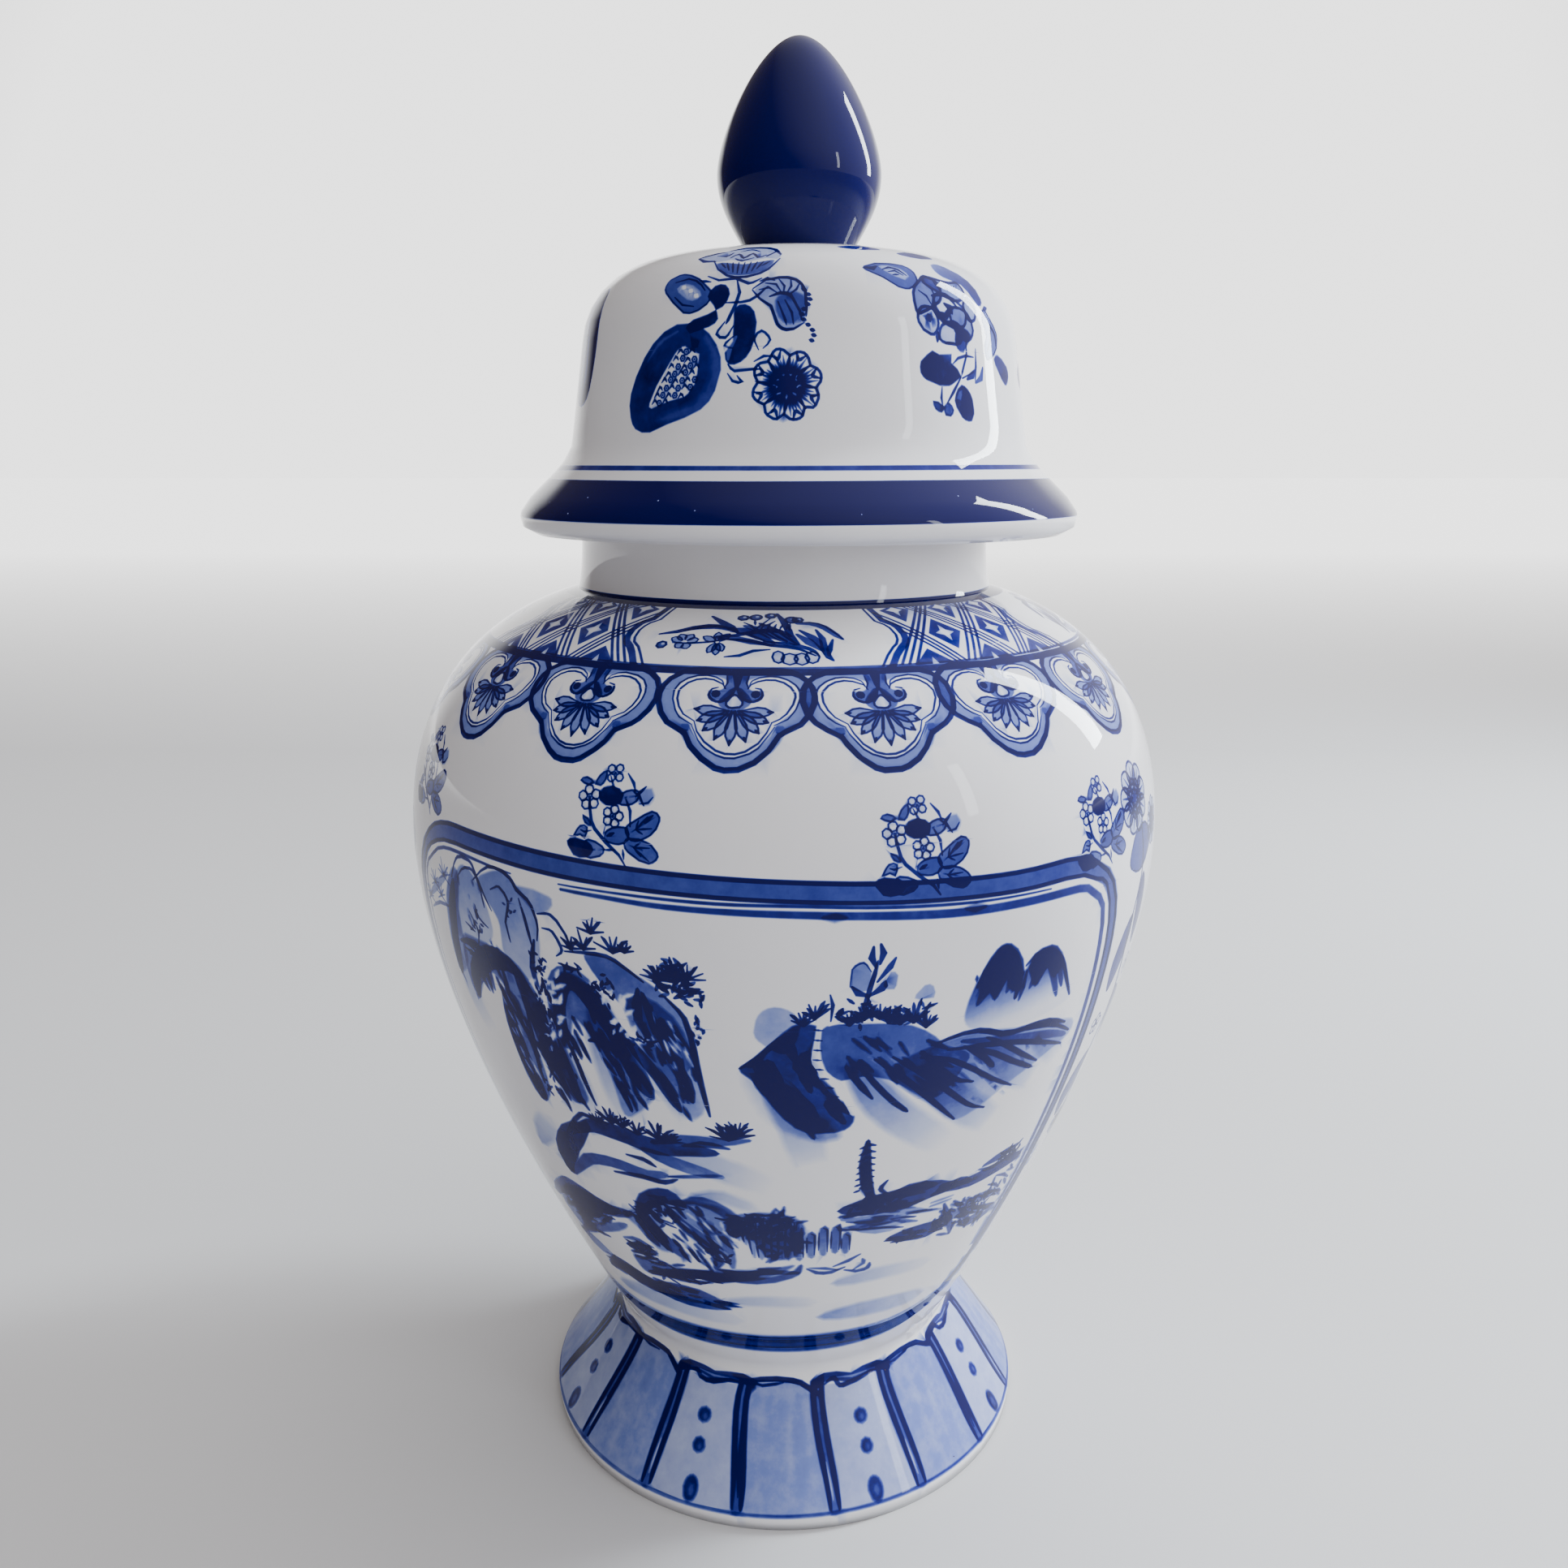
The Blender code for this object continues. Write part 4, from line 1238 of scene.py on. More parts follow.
def wooded_island(m):
    """The wooded island, with its trunks hanging over the water."""
    strokes(m, [
        (7.0, 0.95, 0.9, [(-53, 70), (-50.4, 75), (-47, 78.4), (-43.6, 82), (-40, 81), (-36, 79.4),
                          (-32, 79.8)]),
        (6.0, 1.10, 0.9, [(-46.4, 61), (-44, 67), (-41.6, 73), (-38, 77.6), (-33, 78.6), (-28.6, 81)]),
        (4.0, 0.85, 0.55, [(-50, 55), (-45, 60), (-40, 65.4), (-35.4, 69.4), (-31, 74)]),
        (6.4, 1.20, 0.95, [(-26.6, 81), (-25.2, 87.4), (-22.4, 92.4), (-19.4, 94.4), (-17, 91)]),
        (4.6, 0.78, 0.6, [(-17.6, 92), (-14.4, 94.6), (-11, 92.4), (-8.6, 88), (-7.4, 82)]),
        (5.2, 0.9, 0.72, [(-25.6, 84), (-24.4, 76), (-21.6, 69), (-19.4, 65.6)]),
        (5.2, 0.9, 0.85, [(-20.4, 87), (-17.4, 80.4), (-14, 74), (-12.4, 68), (-13.6, 62)]),
        (4.0, 0.8, 0.7, [(-28, 80), (-26.4, 73), (-25, 68)]),
        (4.0, 0.7, 0.5, [(-15, 84), (-12.6, 79), (-10.6, 74), (-10, 63)]),
        (6.5, 1.2, 1.0, [(-33, 62.4), (-29.6, 63), (-26.6, 63)]),
        (2.0, 0.7, [(-33.6, 66), (-30, 67.4), (-26.6, 65.6)]),
        (4.6, 1.05, 0.9, [(-30, 50.4), (-24, 54), (-18, 57), (-11, 57.6), (-5, 60)]),
        (3.2, 0.9, 0.85, [(-15, 58), (-8, 56.6), (-2, 58), (2.2, 61.6), (3.4, 66)]),
        (2.4, 0.8, [(-9, 60), (-3, 62.6), (3, 61.6)]),
        (9.0, 1.10, 0.95, [(-44.6, 42), (-40, 46), (-35.4, 44), (-30, 41)]),
        (8.5, 0.98, 0.72, [(-32, 41.6), (-26, 43.6), (-20, 44), (-15, 42)]),
        (4.0, 0.95, 0.6, [(-30, 39.4), (-22, 38.6), (-12.4, 39.4)]),
        (7.5, 0.62, 0.35, [(-50, 55), (-46, 51.6), (-42, 50)]),
    ], steady=0.25, soft=0.9)
    m.wash([(-10.4, 84), (-9, 89), (-5, 91.6), (-0.6, 91.4), (2.6, 88.4), (3.8, 83), (3.4, 76),
            (2.2, 70.4), (-1, 68.6), (-3.6, 71), (-5, 77), (-7, 80), (-9.6, 79)], 0.62, soft=1.0)
    for k in range(10):
        x = -9.0 + 1.25 * k
        top = 89.6 - 0.16 * (k - 5) ** 2
        bottom = (79, 78, 76, 70, 68.6, 69.6, 68.4, 70, 69, 73)[k]
        m.brush([(x, top), (x - 0.3, 0.5 * (top + bottom)), (x - 0.1, bottom)], 2.2, 0.55, end_ink=0.35,
                soft=0.8, steady=0.4)
        m.brush([(x - 0.6, top), (x - 0.9, 0.5 * (top + bottom)), (x - 0.7, bottom + 1)], 0.7, 0.8,
                steady=0.3)
    m.wash([(-31, 80), (-27.6, 84), (-22, 90), (-16, 94), (-11, 93), (-8, 88), (-10.4, 82), (-14, 79),
            (-18, 84), (-21.4, 84), (-23, 74), (-22, 67), (-25.4, 66), (-28, 74)], 0.45, soft=1.6)
    m.wash([(-52, 66), (-50, 74), (-46, 80), (-41, 83.4), (-35, 82), (-32, 79), (-36, 74), (-40, 68),
            (-44, 60), (-49, 58)], 0.50, soft=1.6)
    m.wash([(-33, 58), (-28, 57.6), (-20, 58.6), (-12, 61.6), (-4, 63.6), (2, 66), (-2, 60), (-9, 56.6),
            (-18, 54.6), (-27, 50), (-32, 50)], 0.62, soft=1.2)
    leafage(m, -3.8, 86.8, 5.6, 3.6, 30, 2.2, 0.75)
    dabs(m, [(-10, 84), (-6, 91.4), (1, 91), (3.6, 84), (3, 70), (-3, 69), (-6, 78)], 70, 3.4, 0, 1.05,
         width=0.9, stray=180)
    dabs(m, [(-30, 80), (-22, 92), (-12, 93), (-8, 84), (-13, 63), (-22, 66)], 60, 6.0, -62, 1.1,
         width=1.1)
    dabs(m, [(-30, 78), (-22, 88), (-12, 90), (-9, 80), (-12, 66), (-22, 68)], 14, 5.0, -62, 1.0,
         width=1.0, lift=0.6)
    dabs(m, [(-52, 68), (-46, 80), (-36, 80), (-34, 72), (-44, 60)], 46, 6.0, 30, 1.05, width=1.1,
         stray=30)
    dabs(m, [(-34, 60), (-20, 60), (0, 65), (-6, 57), (-20, 52), (-32, 50)], 40, 6.0, 10, 1.0, width=1.2,
         stray=20)
    dabs(m, [(-46, 44), (-38, 49), (-26, 47), (-12, 44), (-16, 39), (-36, 40)], 36, 6.0, -6, 1.05,
         width=1.2)
    crowns(m, [
        (-24, 84, 5.0, 5.0, 26, 2.2, 0.7), (-44, 74, 5.0, 5.0, 24, 2.4, 0.7),
        (-24, 53, 8.0, 3.0, 20, 2.4, 0.7), (-21.6, 91, 3.2, 3.0, 18, 2.2, 1.05),
        (-12.4, 68, 2.4, 3.4, 12, 2.0, 0.9), (-29.6, 63.6, 3.2, 2.6, 14, 2.0, 1.0),
        (-38.6, 46, 4.4, 3.4, 16, 2.4, 0.9),
    ])
    for x, low, high in ((2.4, 69, 80), (4.6, 70, 81.6), (6.8, 71, 84), (9.0, 71.6, 84), (11.0, 71, 80)):
        m.brush([(x + 0.5, low), (x, 0.5 * (low + high)), (x + 0.2, high)], 3.0, 0.55, end_ink=0.8,
                tips=(0.6, 0.8), soft=0.9)
        m.brush([(x + 1.1, low + 1), (x + 0.8, high - 1), (x, high)], 0.7, 0.95, steady=0.2)
        m.brush([(x - 0.4, low + 2), (x - 0.6, high - 2)], 0.6, 0.85, steady=0.2)


def stepped_crag(m):
    """The crag in the middle, its stair and its trees."""
    m.wash([(-5.8, 147.6), (-3.4, 152), (-0.6, 158.6), (1.6, 162.2), (4.4, 161), (4.4, 154), (3.8, 148),
            (5.4, 141), (8, 135), (9.8, 130), (8.6, 125.4), (4.6, 124.6), (1.6, 127), (-0.6, 132),
            (-2.4, 138), (-4.2, 144)], 1.15, fade=[(1, 160), (5, 125)], end_ink=0.95, soft=0.8)
    m.wash([(-5.4, 146), (-4.6, 138), (-2.6, 130), (0.6, 125), (5, 121.6), (8, 123), (6, 130), (1, 136)],
           0.4, fade=[(3, 134), (-3, 128)], end_ink=0.05, soft=2.4)
    m.wash([(4.8, 160.6), (9.6, 161.6), (15.6, 160.2), (19.4, 156), (21.4, 151.6), (25.6, 147),
            (25, 141.6), (22.4, 134), (19.6, 134), (16.6, 139), (13.4, 143), (10.4, 144.4), (7.6, 143.4),
            (5.2, 148)], 0.80, fade=[(10, 160), (21, 136)], end_ink=0.5, soft=0.6)
    m.wash([(14, 146), (20, 152), (27, 153.6), (33, 151.6), (40, 149.6), (46, 146.4), (46.2, 141),
            (42, 138), (38, 134.6), (33.6, 130.6), (29.6, 125), (25.4, 123), (21, 131), (16.6, 138)],
           0.58, fade=[(24, 153), (32, 128)], end_ink=0.24, soft=1.0)
    dabs(m, [(-4.6, 147), (1, 160), (3.4, 152), (7.6, 134), (7, 128), (3, 127), (-2, 138)],
         22, 9, -58, 1.3, width=2.0)
    dabs(m, [(6, 158), (16, 158.6), (22, 150), (22, 140), (16, 144), (8, 147)], 16, 8, -42, 1.15,
         width=0.8)
    dabs(m, [(22, 150), (32, 150), (44, 145), (40, 140), (28, 130), (22, 136)], 12, 8, -50, 1.0,
         width=0.7)
    dabs(m, [(6, 158), (16, 158.6), (22, 150), (22, 140), (16, 144), (8, 147)], 8, 7, -42, 1.0, width=0.5,
         lift=0.3)
    strokes(m, [
        (1.6, 1.2, [(-5.8, 147.8), (-3.4, 151.6), (-1.8, 155), (0, 158.6)]),
        (1.8, 1.15, 1.2, [(19.6, 152), (23.4, 154), (27, 153.8), (31, 150.8), (36, 150), (41.4, 147.6),
                          (45.6, 142.6)]),
        (3.0, 0.6, 0.5, [(24, 151.6), (30, 149), (36.4, 146.6), (41, 144.6), (45.2, 141.6)]),
        (1.8, 1.2, [(35, 151.4), (40, 149.8), (44, 146.6)]),
        (1.7, 1.15, [(22, 149.6), (28, 148.4), (34, 146.2), (40, 142.4), (44.6, 138.6)]),
        (1.8, 1.1, [(25.6, 149), (29.6, 145), (34, 139.6), (38.8, 134)]),
        (1.7, 1.1, [(28, 151), (32, 146.4), (36.2, 140.4), (39.4, 136)]),
        (1.6, 1.2, [(18, 148.6), (22.4, 146.4), (27, 140.6), (31.4, 134.6), (35.2, 130)]),
        (1.9, 1.0, [(24.6, 149.6), (28, 144.6), (30.6, 139.6)]),
        (1.6, 1.2, [(14, 150), (18.6, 143.4), (23.6, 134.6), (27.6, 127.6), (30.6, 124.4)]),
        (1.7, 1.2, 1.2, [(11.6, 150), (16.4, 142), (20.6, 133), (25.4, 123)]),
        (1.4, 1.15, 1.1, [(16, 148), (20.6, 140), (25, 131.6), (29, 126)]),
        (1.8, 1.1, [(9.4, 149), (12, 142), (14.8, 135), (17.4, 129.6)]),
        (2.0, 1.0, [(8, 148), (10, 142), (12, 136)]),
        (1.5, 1.0, [(20, 146.6), (24, 139), (27.4, 136)]),
        (1.3, 0.3, [(13, 147.4), (15, 144), (16.4, 141)]),
    ], steady=0.2, soft=0.5)
    m.brush([(4.4, 163.6), (4.2, 157), (3.9, 151), (4.6, 147.6), (6.6, 143), (8.2, 137.6), (9.4, 131.4)],
            2.1, lift=0.92, soft=0.5, tips=(0.7, 0.8))
    for k in range(9):
        x = 3.6 + (0.1 if k < 4 else 0.75 * (k - 3.4))
        m.brush([(x, 160.5 - 3.2 * k), (x + 1.1, 160.2 - 3.2 * k)], 0.7, 1.0)
    m.brush([(5.6, 161.6), (6.6, 163), (5.2, 164.4), (6.6, 165)], 1.0, lift=0.9)
    for x, y, size in ((2.4, 162, 4.6), (3.8, 164, 5.4), (8.2, 161.6, 4), (13.2, 161.6, 5.6),
                       (14.8, 160.6, 5), (16.6, 160.6, 6.6), (18.4, 158.6, 5), (12, 163, 4.4),
                       (10, 163, 5)):
        tuft(m, x, y, size, count=7, ink=1.15, spread=60, width=1.1)
    crowns(m, [
        (9, 164.6, 2.8, 3.6, 24, 1.9, 1.1), (15.6, 163.6, 2.8, 3.0, 18, 1.8, 1.1),
    ])
    strokes(m, [
        (1.4, 1.15, [(9.8, 162), (10, 168), (10.8, 174), (11.4, 180)]),
        (1.1, 1.1, [(5.8, 163), (6, 168), (5.6, 171)]),
        (2.0, 1.15, [(11.2, 178), (10.6, 181), (10.8, 184)]),
        (2.0, 1.1, [(11.6, 179), (12, 182), (11.6, 184.6)]),
        (1.8, 1.0, [(11.4, 174), (12.6, 177), (13.6, 180.6)]),
        (2.2, 1.1, [(10.6, 170), (12, 172), (12.4, 174)]),
        (2.0, 1.1, [(10.4, 170), (9, 171), (8.2, 173)]),
    ], steady=0.1)
    m.wash([(8, 173), (8.2, 178), (9.6, 179.8), (10.6, 177), (10.2, 171.6)], 0.42, soft=0.5)
    m.brush([(8, 173), (8.2, 178), (9.6, 179.8), (10.6, 177)], 0.6, 0.8)
    m.wash([(12.2, 172.6), (13, 176.6), (14, 175.4), (13.6, 171.4)], 0.4, soft=0.5)
    m.wash([(16.4, 168), (17.6, 171.6), (18.8, 171), (19, 167.4)], 0.35, soft=0.5)


def twin_peaks(m):
    """Two peaks far off on the right."""
    m.wash([(23.8, 160), (24.8, 169), (27, 176.8), (29, 179.4), (31, 176), (32.4, 170), (34, 174.4),
            (37, 175), (40, 170), (42, 162), (43.4, 156), (38, 153), (30, 152.4), (25.4, 155)], 1.05,
           fade=[(30, 176), (32, 154)], end_ink=0.04, soft=0.8)
    strokes(m, [
        (3.0, 1.0, 1.1, [(25.2, 168.6), (26.6, 174.6), (28.8, 178.4), (30.8, 175.4), (32, 169.4),
                         (31.6, 162)]),
        (3.6, 0.9, 0.6, [(27, 175), (26.6, 168), (25.6, 163)]),
        (3.8, 1.0, 0.55, [(28.8, 177), (28.6, 170), (28, 165)]),
        (3.0, 1.0, 0.6, [(30.4, 174), (30.6, 169), (30, 165)]),
        (1.6, 1.15, [(32.6, 171.6), (34.6, 174.8), (37.4, 174.8), (39.4, 170.6), (41.2, 163.6),
                     (43, 156.6)]),
        (2.6, 0.9, 0.75, [(34, 172.6), (36.6, 171.6), (38.2, 166), (39.8, 158.4)]),
        (2.2, 0.9, 0.8, [(36.6, 173.6), (39, 168.6), (40.6, 161)]),
        (2.6, 0.9, 0.5, [(34.4, 171), (34.6, 167), (34, 164)]),
        (1.8, 1.0, 0.6, [(33, 170), (32.8, 166), (32.4, 161)]),
        (1.2, 1.1, [(24.8, 172), (25, 170)]),
    ], steady=0.15, soft=0.6)
    m.wash([(25.4, 167), (27, 175.4), (29, 178.6), (31, 175), (32, 168), (30.8, 164), (29.8, 169),
            (28.2, 163), (26.8, 168)], 1.0, soft=0.8)
    m.wash([(33.2, 171), (35, 174), (37.6, 174.2), (39.6, 170), (38.6, 165), (36.8, 169), (35, 164)],
           0.85, soft=0.8)


def far_shore(m):
    """The far shore: a tall pine, rocks, and boats in front."""
    strokes(m, [
        (3.6, 1.25, [(12.2, 120.4), (12.2, 112), (12.8, 105), (13.8, 98), (15.4, 93)]),
        (1.6, 1.1, [(16.6, 102.6), (15.6, 99.4), (17.4, 96)]),
        (9.5, 1.1, 1.0, [(9.8, 91.4), (14.6, 92), (19, 93), (24.6, 94), (29.6, 93.4)]),
        (5.0, 0.9, 0.9, [(18, 96), (22, 97), (26, 96)]),
        (4.0, 1.1, [(28, 92), (31, 93.6), (34, 92)]),
        (5.6, 0.95, 1.05, [(29, 92), (35, 92.2), (39.6, 93), (43, 93.4), (46.6, 93)]),
        (3.4, 0.8, 0.9, [(36, 97), (40, 98.6), (44, 100)]),
        (1.0, 0.9, [(10.6, 86), (14, 84.6), (19, 84.4), (24, 82.6)]),
        (1.0, 0.9, [(12, 81.6), (17, 81), (22, 78.6)]),
        (1.2, 0.9, [(9.6, 85.4), (9.8, 82.6), (13, 81.8)]),
        (4.0, 0.42, 0.3, [(10.4, 83), (16, 82.4), (22, 81)]),
        (5.0, 0.6, 0.5, [(30, 79), (34, 77), (38, 75)]),
        (4.4, 0.55, 0.45, [(36, 82), (40, 80), (44, 78)]),
        (1.6, 0.9, [(35, 96), (38, 94.6), (42, 95.4)]),
        (3.4, 0.50, 0.3, [(9.8, 87.4), (15, 86), (20.4, 86.6), (25.6, 84.6)]),
        (3.2, 0.46, 0.25, [(11.4, 83.6), (16, 80), (21, 79.4)]),
        (2.0, 0.6, [(19, 84), (21.6, 82), (24.6, 80)]),
        (7.6, 1.1, 1.0, [(19.8, 74.4), (24.6, 74.4), (28, 73.6), (31.6, 75)]),
        (2.6, 0.9, 0.75, [(29.4, 84.6), (31.4, 79), (33.4, 72.6), (34.6, 67)]),
        (2.6, 0.85, 0.7, [(31.6, 84.6), (34.4, 80), (37, 73.6), (39.4, 68)]),
        (2.4, 0.7, 0.55, [(34.6, 83), (37.6, 78), (41, 73)]),
        (5.6, 0.72, 0.6, [(36.6, 70.6), (40.6, 68.6), (44.6, 69), (46, 70)]),
        (2.0, 0.8, [(38.4, 76.6), (42, 73.4), (46.4, 71.4)]),
        (1.4, 0.9, [(40, 85.4), (42.4, 83.6), (44.6, 80.6)]),
        (1.4, 0.9, [(41.4, 88.6), (44, 86.4), (46.6, 83.4)]),
        (1.4, 0.85, [(42.6, 80.6), (45, 78.6), (46.6, 76.6)]),
        (1.3, 0.85, [(45, 90), (46.6, 87)]),
        (1.8, 0.8, [(4.4, 64), (6.4, 61.4), (9.4, 61), (12, 63)]),
        (1.5, 0.7, [(4.8, 64.4), (8, 63.6), (10.6, 62)]),
        (1.7, 0.75, [(9.6, 64), (12.4, 66.4), (14.6, 69)]),
        (1.8, 0.8, [(12, 61.6), (14.4, 60), (16.8, 61), (17, 63.6)]),
        (1.5, 0.7, [(13.6, 61), (15.6, 64), (15.2, 66.4)]),
    ], steady=0.2, soft=0.6)
    for k in range(8):
        m.brush([(12.2, 119 - 2.6 * k), (13.6 + 0.1 * k, 118.2 - 2.6 * k)], 1.2, 0.95, tips=(0.9, 0.5))
        m.brush([(12, 118 - 2.6 * k), (11.2, 117.4 - 2.6 * k)], 1.0, 0.95, tips=(0.9, 0.5))
    dabs(m, [(10, 88), (28, 91), (26, 84), (11, 81)], 18, 8.0, -6, 0.7, width=0.8)
    dabs(m, [(29, 86), (36, 86), (46, 90), (46, 70), (34, 66), (28, 72)], 50, 5.0, -60, 0.95, width=0.9,
         stray=50)
    dabs(m, [(8, 88), (12, 96), (28, 97), (30, 91), (20, 88)], 24, 6.0, 4, 1.2, width=1.2)
    crowns(m, [
        (42.6, 97.6, 2.8, 2.8, 24, 2.2, 0.95), (25, 73.6, 4.4, 2.4, 20, 2.2, 1.05),
        (14.6, 93, 3.6, 2.4, 16, 2.2, 1.05), (40, 77, 4.2, 4.4, 18, 1.9, 0.8),
        (22, 95, 4.0, 2.6, 14, 2.0, 1.0),
    ])


def landscape(painting, turn, mirror):
    """The whole painted view, about the turn of its middle."""
    m = Scene(painting, LANDSCAPE_MIDDLE, turn, mirror)
    land = (arched_cliffs, cliff_ridge, dark_spur, wooded_island, stepped_crag, twin_peaks, far_shore)
    for part in (pale_washes, *land):
        part(m)


def panel_frame(painting, turn, mirror):
    """The thick double-lined frame round a landscape, with eased corners and a thin line inside."""
    m = Scene(painting, LANDSCAPE_MIDDLE, turn, mirror)
    band = [(-20, 200.6), (0, 199.2), (15, 197.8), (30, 196.6), (41, 196.6), (45.4, 193.6), (49, 188.4),
            (51, 176), (51.6, 150), (52, 110), (52, 75), (51, 52), (49.6, 40), (46, 30), (40, 23),
            (30, 19.4), (10, 19.6), (-15, 19.4), (-36, 18.6), (-50, 19.4), (-58, 25), (-62, 36),
            (-63, 60), (-63.4, 100), (-63.6, 150), (-63.4, 178), (-62, 189), (-58.6, 197), (-53, 201.4),
            (-45, 202), (-32, 201.4)]
    m.brush(band, 5.4, 0.72, closed=True, soft=0.5, step=2.5)
    for side, over, under, width, ink in ((0.9, 2.6, -2.8, 1.2, 1.25), (-0.95, -2.5, 3.4, 1.1, 1.2)):
        line = []
        for x, y in band:
            out = side if x > 48 else -side if x < -60 else 0
            rise = over if y > 150 and -60 < x < 48 else under if y < 30 and -56 < x < 44 else 0
            line.append((x + out, y + rise))
        m.brush(line, width, ink, closed=True, soft=0.4, step=2.5, steady=0.1)
    low = [(44, 26), (30, 20.6), (10, 19.8), (-15, 19.4), (-36, 19.4), (-50, 21.6), (-58, 29)]
    m.brush(low, 10.5, 0.34, soft=2.0, step=2.5)
    for shift, width, ink in ((4.4, 1.2, 0.45), (1.6, 2.4, 0.3), (-4.6, 2.6, 0.62)):
        m.brush([(x, y + shift) for x, y in low], width, ink, soft=1.6, step=2.5, steady=0.3)
    m.brush([(-28.6, 195.2), (-22, 194.8), (-15, 194.0), (0, 193.6), (10, 192.6), (22, 191.0),
             (32, 190.6), (40, 190.4), (43.4, 189.4), (45.4, 186.6), (47.2, 183.6), (48.2, 176),
             (48.8, 150), (49, 110), (49, 75), (48, 50)], 2.3, 0.95, soft=0.5, step=2.5, tips=(0.3, 0.6),
            steady=0.2)
    m.brush([(-29, 196.4), (-20, 196.2), (-8, 196.0), (2, 195.6), (11, 194.4), (24, 193.2), (36, 192.6)],
            0.9, 1.0, soft=0.4, step=2.5, steady=0.2)
    for x in (6, 24):
        m.brush([(x - 1.4, 192.6 - 0.03 * x), (x + 1.4, 192.4 - 0.03 * x)], 2.6, 0.5, soft=0.8)
    m.brush([(-60.6, 150), (-60.8, 180), (-60, 188), (-57.6, 192), (-54, 196.2), (-48, 197.4),
             (-37, 196.4)], 1.0, 1.0, soft=0.4, step=2.5)
    m.brush([(-60.6, 150), (-60.4, 100), (-60, 60), (-59, 40)], 1.0, 1.0, soft=0.5, step=2.5)


def big_bloom(painting, turn, up, size, mirror=1):
    """A ruffled peony: rings of scalloped petals with ribs, round a dark heart."""
    m = Motif(painting, turn, up, size, mirror)
    hand = painting.hand
    for k in range(9):
        angle = math.tau * k / 9 + 0.2
        x, y = polar(6.4, angle)
        petal_edge = circle(x, y, 3.0, 3.0, 8, angle)
        m.wash(petal_edge, 0.16, soft=0.4)
        m.brush(petal_edge, 0.6, 1.05, closed=True, steady=0.2)
        for rib in (-0.32, 0.0, 0.32):
            spoke = [polar(3.6, angle + 0.6 * rib), polar(8.2, angle + rib)]
            m.brush(spoke, 0.62, 0.95, end_ink=0.5, tips=(1.0, 0.4))
    for k in range(7):
        angle = math.tau * k / 7
        x, y = polar(3.4, angle)
        m.wash(circle(x, y, 1.9, 1.9, 7, angle), 0.45, soft=0.4)
        m.brush(circle(x, y, 1.9, 1.9, 7, angle), 0.6, 1.05, closed=True, steady=0.15)
    m.wash(circle(0, 0, 3.0 + hand.uniform(-0.2, 0.2), 2.8, 9), 1.05, soft=0.7)
    for k in range(8):
        m.dot(*polar(1.6, math.tau * k / 8 + 0.2), 0.4, 0.0, lift=0.6)


def side_spray(painting, turn, mirror=1):
    """The tall spray between two panels: two peonies over a hanging stem of broad leaves."""
    big_bloom(painting, turn - 3, 209, 1.15, mirror)
    big_bloom(painting, turn + 6 * mirror, 198, 0.8, mirror)
    m = Motif(painting, turn, 150, 1.0, mirror)
    m.brush([(-2, 52), (1, 36), (-3, 16), (2, -10), (-2, -34), (3, -62)], 1.4, 1.05)
    leaf(m, [(-12, 40), (-8, 48), (2, 50), (9, 44), (4, 38), (-4, 36)], 0.7, vein=[(-10, 41), (6, 45)])
    leaf(m, [(3, 34), (8, 28), (9, 18), (5, 10), (1, 18), (0, 28)], 0.95, vein=[(3, 32), (5, 13)])
    leaf(m, [(-2, 22), (-8, 18), (-12, 8), (-9, -2), (-4, 4), (-1, 14)], 0.85, vein=[(-3, 20), (-9, 1)])
    leaf(m, [(2, -4), (9, -8), (13, -18), (9, -28), (4, -20), (1, -12)], 0.8, vein=[(3, -6), (9, -25)])
    leaf(m, [(-2, -26), (-9, -30), (-12, -40), (-7, -50), (-3, -42), (-1, -34)], 0.7,
         vein=[(-3, -28), (-7, -47)])
    leaf(m, [(2, -50), (8, -54), (10, -64), (5, -72), (1, -64)], 0.8, vein=[(3, -52), (5, -69)])
    blossom(m, 8, 2, 3.6)
    blossom(m, -8, -14, 3.6, start=0.2)
    blossom(m, 9, -42, 3.4)
    big_bloom(painting, turn, 96, 0.7, mirror)


